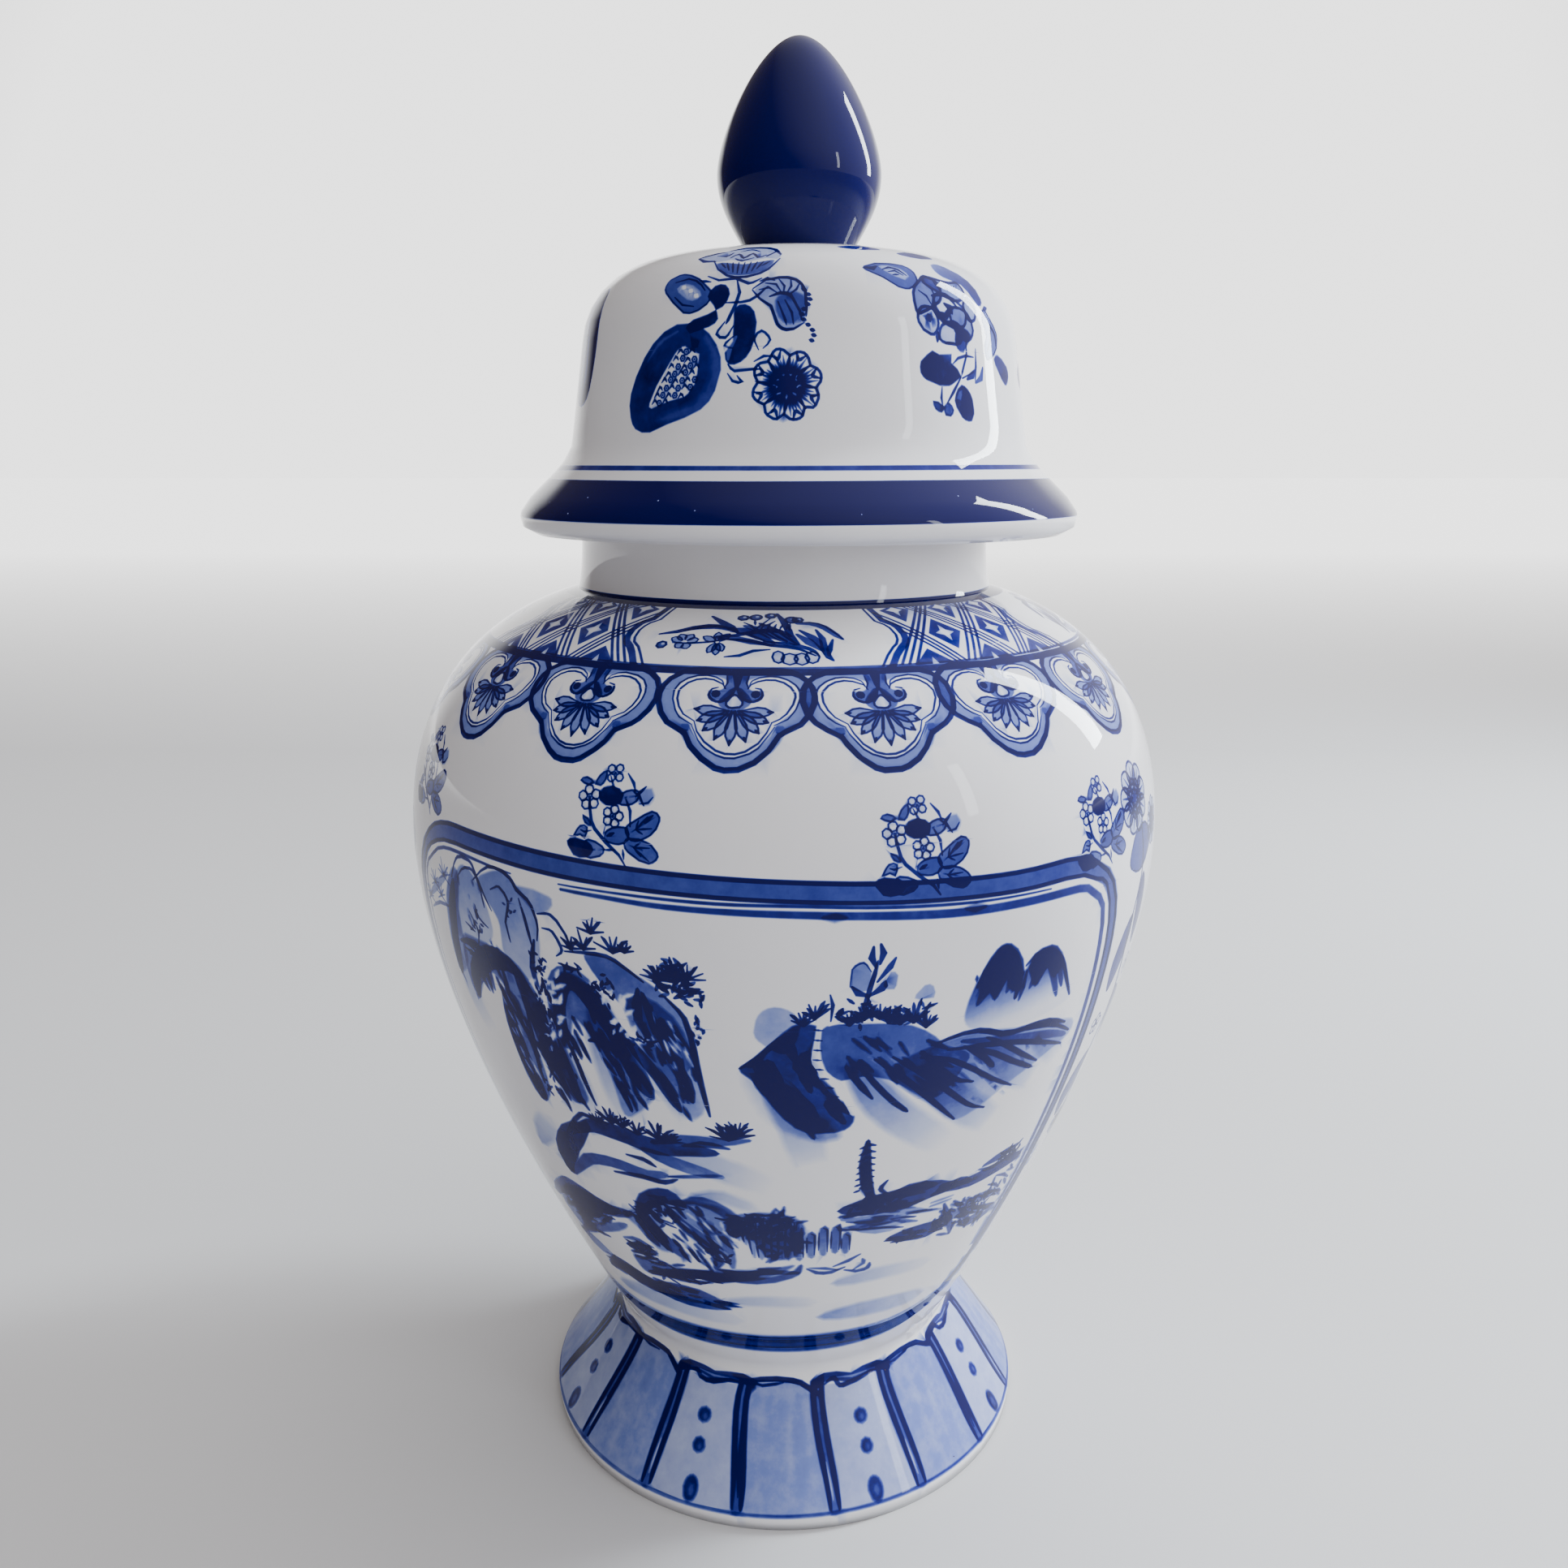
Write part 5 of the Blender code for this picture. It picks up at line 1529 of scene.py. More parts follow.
def sprig(painting, turn, up, mirror):
    """A scattered sprig: blossoms on bent stems, two dark fruits, and broad washed leaves."""
    m = Motif(painting, turn, up, 1.0, mirror)
    strokes(m, [
        (1.0, 1.05, [(4.2, -13.2), (2.2, -10.5), (-2.6, -7), (-6, -3.6), (-7.4, 0.5), (-7.6, 3)]),
        (0.8, 1.0, [(-3, -7), (-2.4, -4), (-2, -2)]),
        (0.9, 1.0, [(4.8, -3), (4.4, 1), (2.8, 4)]),
        (0.8, 1.0, [(3.2, -9), (3.6, -11.5)]),
        (0.8, 1.0, [(-2.4, 9.5), (-1, 6.5), (0.5, 5)]),
        (0.9, 1.0, [(2.4, 10.6), (4.4, 8.2), (5.2, 6.2)]),
        (0.6, 0.9, [(-6.3, -5), (-8.4, -5.6), (-9.6, -5.2)]),
    ])
    blossom(m, -7.8, 3.4, 3.3)
    blossom(m, -0.4, -0.8, 3.0, start=0.1)
    blossom(m, -1.2, 10.4, 2.7, petals=4, start=0.9)
    fruit = circle(-1.6, 4.4, 3.5, 2.5, 9, 0.2)
    m.wash(fruit, 1.35, soft=0.5)
    m.brush(fruit, 0.5, 0.5, closed=True)
    leaf(m, [(1.4, 5.2), (4, 6.4), (6.4, 6.0), (5.8, 3.6), (3.4, 2.4), (0.6, 2.8)], 0.55,
         vein=[(1, 4), (5.6, 5)])
    m.wash([(5.6, 4), (7.4, 7), (9.6, 7.2), (10.6, 5.4), (9.6, 3), (7, 2.8)], 0.4, soft=0.8)
    strokes(m, [
        (0.8, 1.1, [(4.8, 6), (6.4, 5), (8, 2.6)]),
        (0.9, 1.1, [(5.4, 4.8), (8, 7.6)]),
        (0.6, 0.8, [(6.6, 3), (9, 3.4), (10.2, 5)]),
    ])
    broad = [(3.6, -3.4), (7, -0.6), (10.4, 1.4), (12.6, 0), (12, -3), (9.4, -5.6), (5.4, -6.4)]
    leaf(m, broad, 0.62, vein=[(4.6, -4.8), (8, -2.4), (11.6, 0.2)])
    for rib in ((7, -1.2), (9.4, 0), (8.4, -4.6), (10.8, -3)):
        m.brush([(6.4, -3.6), rib], 0.5, 0.9)
    low = [(4, -6.4), (7.4, -6), (11, -7.2), (13, -10), (10.6, -12), (6.6, -10.8), (3.8, -8.6)]
    leaf(m, low, 0.6, vein=[(4.6, -7.6), (8, -8.4), (12, -10.4)])
    for rib in ((8, -6.8), (10.6, -8), (8.4, -10.4), (10.6, -11.4)):
        m.brush([(6.2, -8.2), rib], 0.5, 0.9)
    left = [(4, -3.6), (0.4, -3.4), (-2.2, -5.2), (-1.4, -7.4), (2, -7.8), (4.4, -6.4)]
    leaf(m, left, 0.7, vein=[(3.6, -5.4), (-1, -6)])
    m.brush([(8.6, -1.6), (10.8, 0.4)], 0.9, 1.2)
    m.brush([(-1.6, -6), (0.4, -5)], 1.0, 1.2)
    bud = [(-13.6, -8.6), (-11, -7.4), (-7.4, -8), (-5.4, -10), (-7.6, -12.2), (-11.4, -12)]
    m.wash(bud, 1.3, soft=0.5)
    leaf(m, [(-7.8, -7.8), (-4.8, -7.8), (-2.2, -9.4), (-3.4, -11.4), (-7.2, -12)], 0.5,
         vein=[(-6.6, -10), (-2.6, -9.6)])
    m.brush([(-2.2, -9.6), (0.8, -9.4)], 0.7, 1.0)
    leaf(m, [(-11.2, 7.6), (-9.4, 8.6), (-7, 7.4), (-8.6, 6.6)], 0.6)
    leaf(m, [(-6.6, 7), (-5.6, 9.4), (-3.8, 10.8), (-3.8, 8.4), (-5, 6.8)], 0.6)
    leaf(m, [(-9.2, -1.4), (-7.6, -2), (-6.6, -3.8), (-8.4, -3.2)], 0.8)
    leaf(m, [(-11.6, -7), (-9.8, -4.2), (-7.6, -4.4), (-8.2, -7.2), (-9.6, -6.4)], 0.5)


# ------------------------------------------------------------------------------- painted body
# The bands and the fringe are painted first, then both panels and the sprays between them. The
# wall is cut into closed bands that stand for the one body.

body.ring(291.2, 6.8, 1.6, wander=0.15)
body.ring(258.5, 2.3, 1.25, wander=0.2)
body.ring(260.1, 0.9, 0.8, wander=0.2)
for number, lappet_turn in enumerate(LAPPET_TURNS):
    ruyi(body, lappet_turn, 246.0 - 0.5 * (number % 2), 1 if number % 3 else -1)
for panel_turn in (37.8, -45.2, 128.0, -136.0):
    lattice_panel(body, panel_turn)
for spray_turn, spray_mirror in ((-6.0, 1), (84.0, -1), (170.0, 1), (-92.0, -1)):
    orchid(body, spray_turn, spray_mirror)

for scene_turn, scene_mirror in ((LANDSCAPE_MIDDLE, 1), (175.0, -1)):
    landscape(body, scene_turn, scene_mirror)
    panel_frame(body, scene_turn, scene_mirror)
for spray_turn, spray_mirror in ((61.0, 1), (116.0, -1), (-74.0, -1), (-126.0, 1)):
    side_spray(body, spray_turn, spray_mirror)
for sprig_turn, sprig_up, sprig_mirror in (
    (-21.4, 217, 1), (17.2, 209.6, 1), (47.4, 207, 1), (-60.6, 217, 1),
    (142, 214, 1), (172, 217, -1), (203, 211, 1), (226, 216, -1), (88, 214, 1), (262, 213, 1),
):
    sprig(body, sprig_turn, sprig_up, sprig_mirror)


LINING_STEP = 6.0


def inner_face(wall, thickness, low, high):
    """The wall's inner face from high down to low, each point square in from the outer face."""
    ups = np.linspace(high, low, max(3, int((high - low) / LINING_STEP)))
    out = np.interp(ups, wall.ups, wall.outward[:, 0])
    rise = np.interp(ups, wall.ups, wall.outward[:, 1])
    line = np.stack([wall.radius(ups) - thickness * out, wall.height(ups) - thickness * rise], 1)
    return [tuple(spot) for spot in line]


def rim_of(wall, up):
    return (float(wall.radius(up)), float(wall.height(up)))


BODY_SPLITS = (0.0, 70.0, 96.0, 134.0, 160.0, 188.0, 210.0, 228.0, 252.0, body_wall.high)
floor_up = float(np.interp(FLOOR_HEIGHT + 6, body_wall.line[:, 1], body_wall.ups))
body_glaze = glaze_material("painted_porcelain", 0.30)
body_pieces = []
for number, (low, high) in enumerate(zip(BODY_SPLITS, BODY_SPLITS[1:])):
    if number == 0:
        lining = inner_face(body_wall, BODY_WALL, floor_up, high)
        corner = lining[-1][0]
        floor = [(corner - 2, FLOOR_HEIGHT + 1.4), (corner - 6, FLOOR_HEIGHT), (0, FLOOR_HEIGHT)]
        back = [[rim_of(body_wall, high), *lining, *floor], [(0, WAIST_HEIGHT), rim_of(body_wall, low)]]
    elif number == len(BODY_SPLITS) - 2:
        lining = inner_face(body_wall, BODY_WALL, low, high - 9)
        neck_side = (NECK_ROOT_RADIUS - NECK_WALL, NECK_ROOT_HEIGHT)
        back = [[rim_of(body_wall, high), neck_side, *lining, rim_of(body_wall, low)]]
    else:
        lining = inner_face(body_wall, BODY_WALL, low, high)
        back = [[rim_of(body_wall, high), *lining, rim_of(body_wall, low)]]
    body_pieces.append(painted_wall(f"painted_body_{number + 1}", body, low, high, back))
for piece in body_pieces:
    piece.data.materials.append(body_glaze)
    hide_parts("body_shell")
    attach(piece, "jar")

# ------------------------------------------------------------------------------- foot
# The flared hollow foot, luted under the waist before the firing. Each brushed bar was loaded
# dark at its edges, over panels of thinned cobalt; the wiped lip under the last line is white.

FOOT_LIP = 1.2
FOOT_RADIUS = 85.8
FOOT_WALL = 6.0
FOOT_RING_WIDTH = 4.44
FLARE_INSET = 1.2
FLARE_START = 4.5
foot_start = (FOOT_RADIUS - FLARE_INSET, FLARE_START)
fillet_away = (waist_centre[0] - foot_start[0], waist_centre[1] - foot_start[1])
tangent = math.sqrt(fillet_away[0] ** 2 + fillet_away[1] ** 2 - WAIST_FILLET**2)
flare_angle = math.atan2(fillet_away[1], fillet_away[0]) + math.atan2(WAIST_FILLET, tangent)
foot_end = (
    foot_start[0] + tangent * math.cos(flare_angle),
    foot_start[1] + tangent * math.sin(flare_angle),
)
foot_wall = Wall(
    arc((FOOT_RADIUS - FOOT_LIP, FOOT_LIP), FOOT_LIP, -math.pi / 2, 0, 8),
    straight((FOOT_RADIUS, FOOT_LIP), foot_start, 6),
    straight(foot_start, foot_end, 60),
    arc(waist_centre, WAIST_FILLET, flare_angle + math.pi / 2, math.pi, 12),
    base=-0.685,
)
foot = Painting(foot_wall, seam=SEAM_TURN, seed=5)

DOTTED_PANELS = (-65.5, -22.0, 21.5, 65.0, 111.0, 157.0, 203.0, 249.0)
BAR_HALF = 10.8
foot_bars = []
for panel_number, panel in enumerate(DOTTED_PANELS):
    following = DOTTED_PANELS[(panel_number + 1) % len(DOTTED_PANELS)]
    following += 360 if following < panel else 0
    left, right = panel - BAR_HALF, panel + BAR_HALF
    foot_bars += [left, right]
    foot.wash([(left, 5.4), (left, 24), (left, 43), (panel - 4, 42.4), (panel + 4, 42.4), (right, 43),
               (right, 24), (right, 5.4), (panel, 5.0)], 0.235, soft=0.5, corners=True)
    far = following - BAR_HALF
    centre = (right + far) / 2
    foot.wash([(right, 5.4), (right, 24), (right, 43), (right + 3, 44.4), (centre, 45), (far - 3, 43),
               (far, 41.4), (far, 24), (far, 5.4), (centre, 5.0)], 0.315, soft=0.5, corners=True)
    for streak in range(5):
        middle = right + (far - right) * (streak + 0.5) / 5 + foot.hand.uniform(-0.8, 0.8)
        foot.brush([(middle, 40), (middle + foot.hand.uniform(-0.8, 0.8), 22), (middle, 7)], 4.2,
                   foot.hand.uniform(0.02, 0.07), end_ink=0.02, soft=2.0)
    # the arched border over the plain panel, then the lobed one over the dotted panel
    foot.brush([(right - 1, 43.6), (right + 3, 44.8), (centre - 2, 45.6), (centre + 4, 44.8),
                (far - 3.6, 42.6), (far - 0.6, 40.6)], 1.7, 1.15, steady=0.3, tips=(0.8, 0.9), soft=0.5)
    foot.brush([(right + 1.5, 43.6), (right + 4.6, 43.4), (centre, 44.4)], 0.9, 0.9, steady=0.3, soft=0.5)
    foot.brush([(left - 1.2, 43), (left + 2, 44.8), (panel - 4, 44.8), (panel, 43.6), (panel + 4, 44.6),
                (right - 2, 44.6), (right + 1.6, 43.2)], 2.9, 1.05, steady=0.3, tips=(0.9, 0.9), soft=0.5)
    foot.brush([(left + 1.6, 43), (left + 4.6, 44.2), (panel - 4.4, 42), (panel - 1, 41.6),
                (panel + 2.4, 42.4), (panel + 5, 43.2), (right - 2, 43)], 1.5, 1.05, steady=0.35,
               soft=0.5)
    foot.brush([(panel - 5, 44.4), (panel + 1, 43.6), (panel + 5, 44)], 0.8, lift=0.5)
    for up, width, height in ((31.5, 1.9, 2.4), (22.4, 1.8, 2.4), (9.4, 2.2, 3.9)):
        middle = panel + foot.hand.uniform(-0.5, 0.5)
        dot = Motif(foot, middle, up)
        dot.wash(circle(0, 0, width * 1.15, height, 8), 0.95, soft=1.2, step=1.2)
        dot.wash(circle(0.3, -0.4, width * 0.5, height * 0.5, 6), 0.0, lift=0.35, soft=1.2, step=1.2)
for number, turn in enumerate(foot_bars):
    lean = (2.2, 0.6, 0.3, -0.8, -0.8, -0.6, 0.6, 1.2)[number % 8]
    path = [(turn + 0.6 * lean, 44), (turn + 1.2 * lean, 37), (turn + 0.6 * lean, 26),
            (turn - 0.6 * lean, 14), (turn - lean, 6.2)]
    foot.brush(path, 5.2, 0.42, soft=0.8, tips=(0.9, 0.75), steady=0.2)
    for side in (-1, 1):
        edge = [(t + side * (1.15 - 0.25 * (40 - u) / 40) * 1.08, u) for t, u in path]
        foot.brush(edge, 1.7, 1.05, soft=0.7, tips=(0.9, 0.45), steady=0.3)
    if number % 3 == 0:
        foot.brush([(turn, 38), (turn, 20), (turn - lean, 10)], 1.0, 0.9, soft=0.8)
    else:
        foot.brush([(turn + lean * 0.4, 20), (turn - lean * 0.6, 9)], 0.9, lift=0.7, soft=0.7)
foot.ring(4.9, 1.1, 0.55, wander=0.35, soft=0.6)

foot_lining = inner_face(foot_wall, FOOT_WALL, 9.0, foot_wall.high - 6)
foot_inner_edge = (FOOT_RADIUS - FOOT_LIP - FOOT_RING_WIDTH, 0.0)
foot_back = [
    rim_of(foot_wall, foot_wall.high),
    (WAIST_RADIUS - FOOT_WALL, WAIST_HEIGHT),
    *foot_lining,
    (foot_inner_edge[0] - 0.8, 0.9),
    foot_inner_edge,
    rim_of(foot_wall, foot_wall.low),
]
foot_piece = painted_wall("painted_foot", foot, foot_wall.low, foot_wall.high, [foot_back])
foot_piece.data.materials.append(glaze_material("foot_porcelain", 0.30))
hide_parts("foot_skirt")
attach(foot_piece, "jar")

# ------------------------------------------------------------------------------- neck
# A plain white collar, thrown and luted on where the shoulder ends, with a thin cobalt line at
# its root. Its rim is rounded and carries the lid.

NECK_RIM_RADIUS = 65.4
NECK_RIM_HEIGHT = 312.5
NECK_EDGE = 1.2
NECK_ROOT_PULL = (1.1, 3)
NECK_RIM_PULL = 9
NECK_STEP_HEIGHT = 303.0
NECK_LINE_TOP = 0.9
neck_bore = NECK_RIM_RADIUS - NECK_WALL
neck_outer = bezier(
    (NECK_ROOT_RADIUS, NECK_ROOT_HEIGHT),
    (NECK_ROOT_RADIUS - NECK_ROOT_PULL[0], NECK_ROOT_HEIGHT + NECK_ROOT_PULL[1]),
    (NECK_RIM_RADIUS, NECK_RIM_HEIGHT - NECK_RIM_PULL),
    (NECK_RIM_RADIUS, NECK_RIM_HEIGHT - NECK_EDGE),
    14,
)
neck_chain = [
    *neck_outer[:-1],
    *arc((NECK_RIM_RADIUS - NECK_EDGE, NECK_RIM_HEIGHT - NECK_EDGE), NECK_EDGE, 0, math.pi / 2, 6),
    *arc((neck_bore + NECK_EDGE, NECK_RIM_HEIGHT - NECK_EDGE), NECK_EDGE, math.pi / 2, math.pi, 6),
    (neck_bore + 0.9, NECK_STEP_HEIGHT),
    (NECK_ROOT_RADIUS - NECK_WALL, NECK_ROOT_HEIGHT),
    (NECK_ROOT_RADIUS, NECK_ROOT_HEIGHT),
]
neck_piece = turned_piece("white_neck", neck_chain)
neck_piece.data.materials.append(
    glaze_material("white_porcelain", 0.28, ink_below=(NECK_ROOT_HEIGHT + NECK_LINE_TOP) * MM)
)
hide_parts("neck_collar")
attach(neck_piece, "jar")

# ------------------------------------------------------------------------------- lid
# The lid's dome is thrown as a drum with a swept, rolled brim. A broad navy band was banded on
# the brim on the wheel, and two fruit and flower sprays repeat round the drum.

LID_SHIFT = 4.68
LID_WALL = 5.0
ROLL_RADIUS = 5.0
ROLL_CENTRE = (84.0, 315.6)
DRUM_FOOT = (72.0, 339.0)
BRIM_SWEEP = 20.9
DRUM_TOP = (67.4, 371.0)
CROWN_EDGE = (44.7, 391.7)
TURN_IN = (22.7, 20.7)
FINIAL_FOOT = (16.6, 395.5)
VENT_RADIUS = 4.0
roll = arc(ROLL_CENTRE, ROLL_RADIUS, -math.pi / 2, math.pi / 6, 20)
brim = bezier(
    roll[-1],
    (roll[-1][0] - 0.13 * BRIM_SWEEP, roll[-1][1] + 0.28 * BRIM_SWEEP),
    (DRUM_FOOT[0] + 0.03 * BRIM_SWEEP, DRUM_FOOT[1] - 0.36 * BRIM_SWEEP),
    DRUM_FOOT,
    80,
)
turn_in = bezier(
    DRUM_TOP,
    (DRUM_TOP[0] - 0.08 * TURN_IN[0], DRUM_TOP[1] + 0.43 * TURN_IN[1]),
    (CROWN_EDGE[0] + 0.65 * TURN_IN[0], CROWN_EDGE[1] - 0.15 * TURN_IN[1]),
    CROWN_EDGE,
    80,
)
drum = straight(DRUM_FOOT, DRUM_TOP)
crown = straight(CROWN_EDGE, FINIAL_FOOT)
lid_wall = Wall(roll, brim, drum, turn_in, crown, centre_x=LID_SHIFT)
lid = Painting(lid_wall, seam=SEAM_TURN, seed=23)
lid.ring(15.9, 14.4, 1.6, soft=0.4, wander=0.25)
lid.ring(9.1, 1.1, 0.4, soft=0.4, wander=0.3)
lid.ring(27.9, 1.7, 0.95, soft=0.4, wander=0.25)
PIN_HOLES = 16
for _ in range(PIN_HOLES):
    speck = Motif(lid, lid.hand.uniform(-170, 170), lid.hand.uniform(10, 21))
    speck.dot(0, 0, lid.hand.uniform(0.16, 0.34), 0.0, lift=0.9)


def seeded_fruit(painting, turn):
    """A split pomegranate: a very dark rind round a white opening full of ringed seeds."""
    m = Scene(painting, -30.0, turn)
    m.wash([(-42.2, 43), (-42.9, 48), (-41.4, 54), (-38.4, 60.2), (-34.6, 64.8), (-30, 67.4), (-25, 67.2),
            (-21.4, 64.6), (-18.8, 60), (-18.2, 55), (-19.4, 49.6), (-21.6, 45.6), (-25.4, 43),
            (-30, 41.4), (-33.4, 39.6), (-37, 38.6), (-40.4, 39.8)], 1.08, soft=0.5)
    m.brush([(-22.2, 64), (-19.8, 59), (-19.4, 54), (-21, 48.6), (-24, 45), (-30, 43), (-34, 42)], 3.4,
            lift=0.25, soft=2.0)
    m.brush([(-38, 58), (-34.4, 63), (-29.6, 65.6)], 1.0, lift=0.3, soft=0.8)
    m.wash([(-36.6, 45.6), (-35.4, 50), (-32.4, 55.6), (-29.4, 60.6), (-27.4, 61.6), (-26.2, 60.6),
            (-23.6, 59.4), (-23.8, 55.6), (-24.4, 51.4), (-27, 48), (-31, 47), (-34.4, 45.4)], 0.0,
           lift=0.97, soft=0.5)
    hand = painting.hand
    rows = [(-35.2, 46.8, 3), (-34.4, 48.7, 5), (-33.6, 50.6, 6), (-32.6, 52.5, 6), (-31.6, 54.4, 5),
            (-30.7, 56.3, 5), (-29.7, 58.2, 4), (-28.7, 60.0, 3)]
    for x, y, count in rows:
        for k in range(count):
            seed_spot = m.at([(x + 1.6 * k + hand.uniform(-0.2, 0.2), y + hand.uniform(-0.3, 0.3))])[0]
            seed = Motif(painting, *seed_spot)
            if (k + int(y)) % 2:
                seed.brush(circle(0, 0, 0.75, 0.8, 6), 0.5, 1.0, closed=True, step=0.8)
                seed.dot(0, 0, 0.3, 0.95)
            else:
                seed.brush([(-0.9, -0.7), (0, 0.6), (0.9, -0.5)], 0.7, 1.1, step=0.8)


def lid_flower(painting, turn, up, size):
    """A ruffled round bloom: frilled white petals with dark ribs running in to a dark heart."""
    m = Motif(painting, turn, up, size)
    hand = painting.hand
    petals = 8
    m.wash(circle(0, 0, 5.6, 5.6, 10), 0.5, soft=2.6)
    frill = []
    for k in range(petals * 4):
        reach = (8.8, 9.2, 8.7, 7.5)[k % 4] + hand.uniform(-0.25, 0.25)
        frill.append(polar(reach, math.tau * k / (petals * 4) + 0.1))
    m.brush(frill, 0.75, 1.1, closed=True, step=0.9)
    for k in range(petals):
        base = math.tau * k / petals + 0.1
        m.brush([polar(4.0, base - 0.08), polar(7.6, base - 0.2)], 0.9, 1.1, tips=(1, 0.5))
        for rib in (0.04, 0.16, 0.28, 0.40, 0.52):
            near = 3.2 + 0.8 * (rib == 0.28)
            far = 7.2 + 1.2 * math.sin(rib * 22 + k)
            spoke = [polar(near, base + rib * 0.9), polar(far, base + rib * 1.1)]
            m.brush(spoke, 0.7, 1.0, end_ink=0.6, tips=(1, 0.3))
        fold = [polar(8.7, base + 0.1), polar(7.0, base + 0.24), polar(8.6, base + 0.4)]
        m.brush(fold, 1.0, 1.1, step=0.8)
    for k in range(9):
        angle = math.tau * k / 9
        m.brush([polar(0.8, angle), polar(3.6, angle + 0.2)], 1.5, 1.1, tips=(1, 0.4))
    m.wash(circle(0.3, 0.2, 2.3, 2.1, 8), 1.1 * 0.8, soft=0.8)


def fruit_spray(painting, turn):
    """The first lid spray: pomegranate, leaves, a bowl-shaped bloom on top, and two ruffled ones."""
    m = Scene(painting, -20.0, turn)
    seeded_fruit(painting, turn - 10)
    leaf(m, [(-35.2, 77.6), (-34.4, 80.8), (-31, 82.4), (-27, 81), (-23.6, 78), (-21.6, 75.4),
             (-22.4, 72.4), (-25.4, 70.4), (-28.4, 70.4), (-31, 72.6), (-33.6, 75.4)], 0.72)
    m.wash([(-31.6, 77.6), (-29.4, 79), (-26, 77.6), (-24.2, 75), (-26.4, 73.6), (-29.4, 75)], 0.0,
           lift=0.5)
    for x, y in ((-29.6, 77.8), (-27.4, 76.6), (-25.6, 75)):
        m.brush([(x - 0.5, y + 0.3), (x + 0.5, y - 0.3)], 1.5, lift=0.9)
    m.brush([(-32.6, 79.6), (-29, 80.6), (-25.6, 79), (-23.4, 76.4)], 0.5, 1.1)
    m.brush([(-31.6, 75), (-29, 72.6), (-25.8, 72)], 0.5, 1.1)
    m.wash([(-22.4, 74.6), (-21, 77.6), (-18.4, 77.8), (-17, 75), (-18.4, 71.6), (-22, 69.6),
            (-25.6, 68.4), (-27.4, 66.4), (-26.4, 65), (-21.6, 66.4), (-19.4, 68.4), (-20.6, 72)], 1.35,
           soft=0.5)
    # the bowl-shaped bloom on top
    m.wash([(-22.6, 86), (-20.6, 82.6), (-16.8, 80.8), (-12.2, 81), (-8.6, 83), (-7, 86.6), (-11, 85.8),
            (-15, 85), (-19, 86)], 0.66, soft=0.4)
    for k in range(9):
        x = -21.4 + 1.65 * k
        m.brush([(x, 86), (-15 + 0.72 * (x + 15), 81.4 + 0.06 * (x + 15) ** 2)], 0.55, 1.1)
    m.brush([(-23.6, 87.4), (-21.6, 83.4), (-17.6, 80.4), (-12.4, 80.4), (-8.2, 82.8), (-6, 87.4)],
            0.8, 1.15)
    m.wash([(-25.6, 88), (-29.4, 89), (-28.4, 91), (-24.6, 91.4), (-21, 93.6), (-17, 95.4), (-11, 95),
            (-7.4, 93), (-5.4, 89.6), (-6.6, 87), (-9.4, 87.6), (-13.6, 86.4), (-19, 87.4),
            (-22.4, 86.6)], 0.22, soft=0.5)
    strokes(m, [
        (1.6, 1.1, [(-21, 93.4), (-17, 95.2), (-11.4, 95), (-7.6, 93.2), (-5.2, 89.6)]),
        (1.2, 1.1, [(-29.6, 89.2), (-27, 87.4), (-23.4, 87)]),
        (1.0, 1.1, [(-29.6, 89.4), (-26.4, 91.2), (-22.4, 92.4)]),
        (1.6, 1.0, [(-9.4, 88.6), (-7.4, 91), (-6.6, 92)]),
        (0.8, 1.1, [(-19.6, 88.4), (-17.6, 90.6), (-15.6, 88), (-13.6, 90.6), (-11.6, 88), (-9.6, 89.4)]),
        (0.7, 1.0, [(-24, 90), (-21, 89.4), (-19.6, 91.6)]),
        (0.7, 1.0, [(-18, 88), (-15.8, 86.6), (-12.8, 88)]),
        (0.7, 1.0, [(-17.6, 92), (-14.6, 93.4), (-11.6, 91.6)]),
        (0.9, 1.05, [(-23.6, 81), (-20.4, 79.4), (-16, 79.8), (-12.6, 78), (-9.6, 79.6)]),
        (0.9, 1.05, [(-25.6, 79.6), (-22.4, 79)]),
        (1.0, 1.05, [(-15.6, 79), (-14.6, 75.4), (-15.6, 71), (-17.4, 67)]),
        (0.8, 1.05, [(-18, 72.6), (-14, 72.6), (-11, 73.6), (-8, 77)]),
        (0.8, 1.05, [(-17.6, 67.6), (-19.6, 64.4), (-17.4, 63.4), (-15.6, 66.4)]),
        (0.7, 1.05, [(-15.6, 63.6), (-17.6, 61.4), (-15.6, 60.6)]),
        (0.9, 1.1, [(-10, 78.6), (-8.2, 79.6), (-6.4, 78.8)]),
    ])
    # the dark hanging leaf and the curls under it
    m.wash([(-15.4, 71), (-13, 72), (-10.8, 70), (-10.2, 65.6), (-11.4, 60), (-13.6, 57), (-16.4, 56.4),
            (-17.4, 59.4), (-15.6, 62.4), (-15.4, 66.6)], 1.25, soft=0.5)
    m.brush([(-16.6, 57.6), (-16.4, 61), (-14.8, 63.6)], 2.0, lift=0.45)
    strokes(m, [
        (0.8, 1.1, [(-16.6, 56.4), (-15, 54.6), (-11.8, 55), (-9, 55)]),
        (0.8, 1.1, [(-16.6, 54), (-15.4, 52), (-13, 51.6), (-14.4, 53.4)]),
        (0.7, 1.1, [(-9.6, 60), (-10.6, 63), (-9, 65), (-7, 62.6), (-8.6, 60.4)]),
        (0.8, 1.1, [(-10.6, 57), (-8.4, 58.4), (-6.6, 58.4)]),
    ])
    lid_flower(painting, *m.at([(-3.2, 50.8)])[0], 1.04)
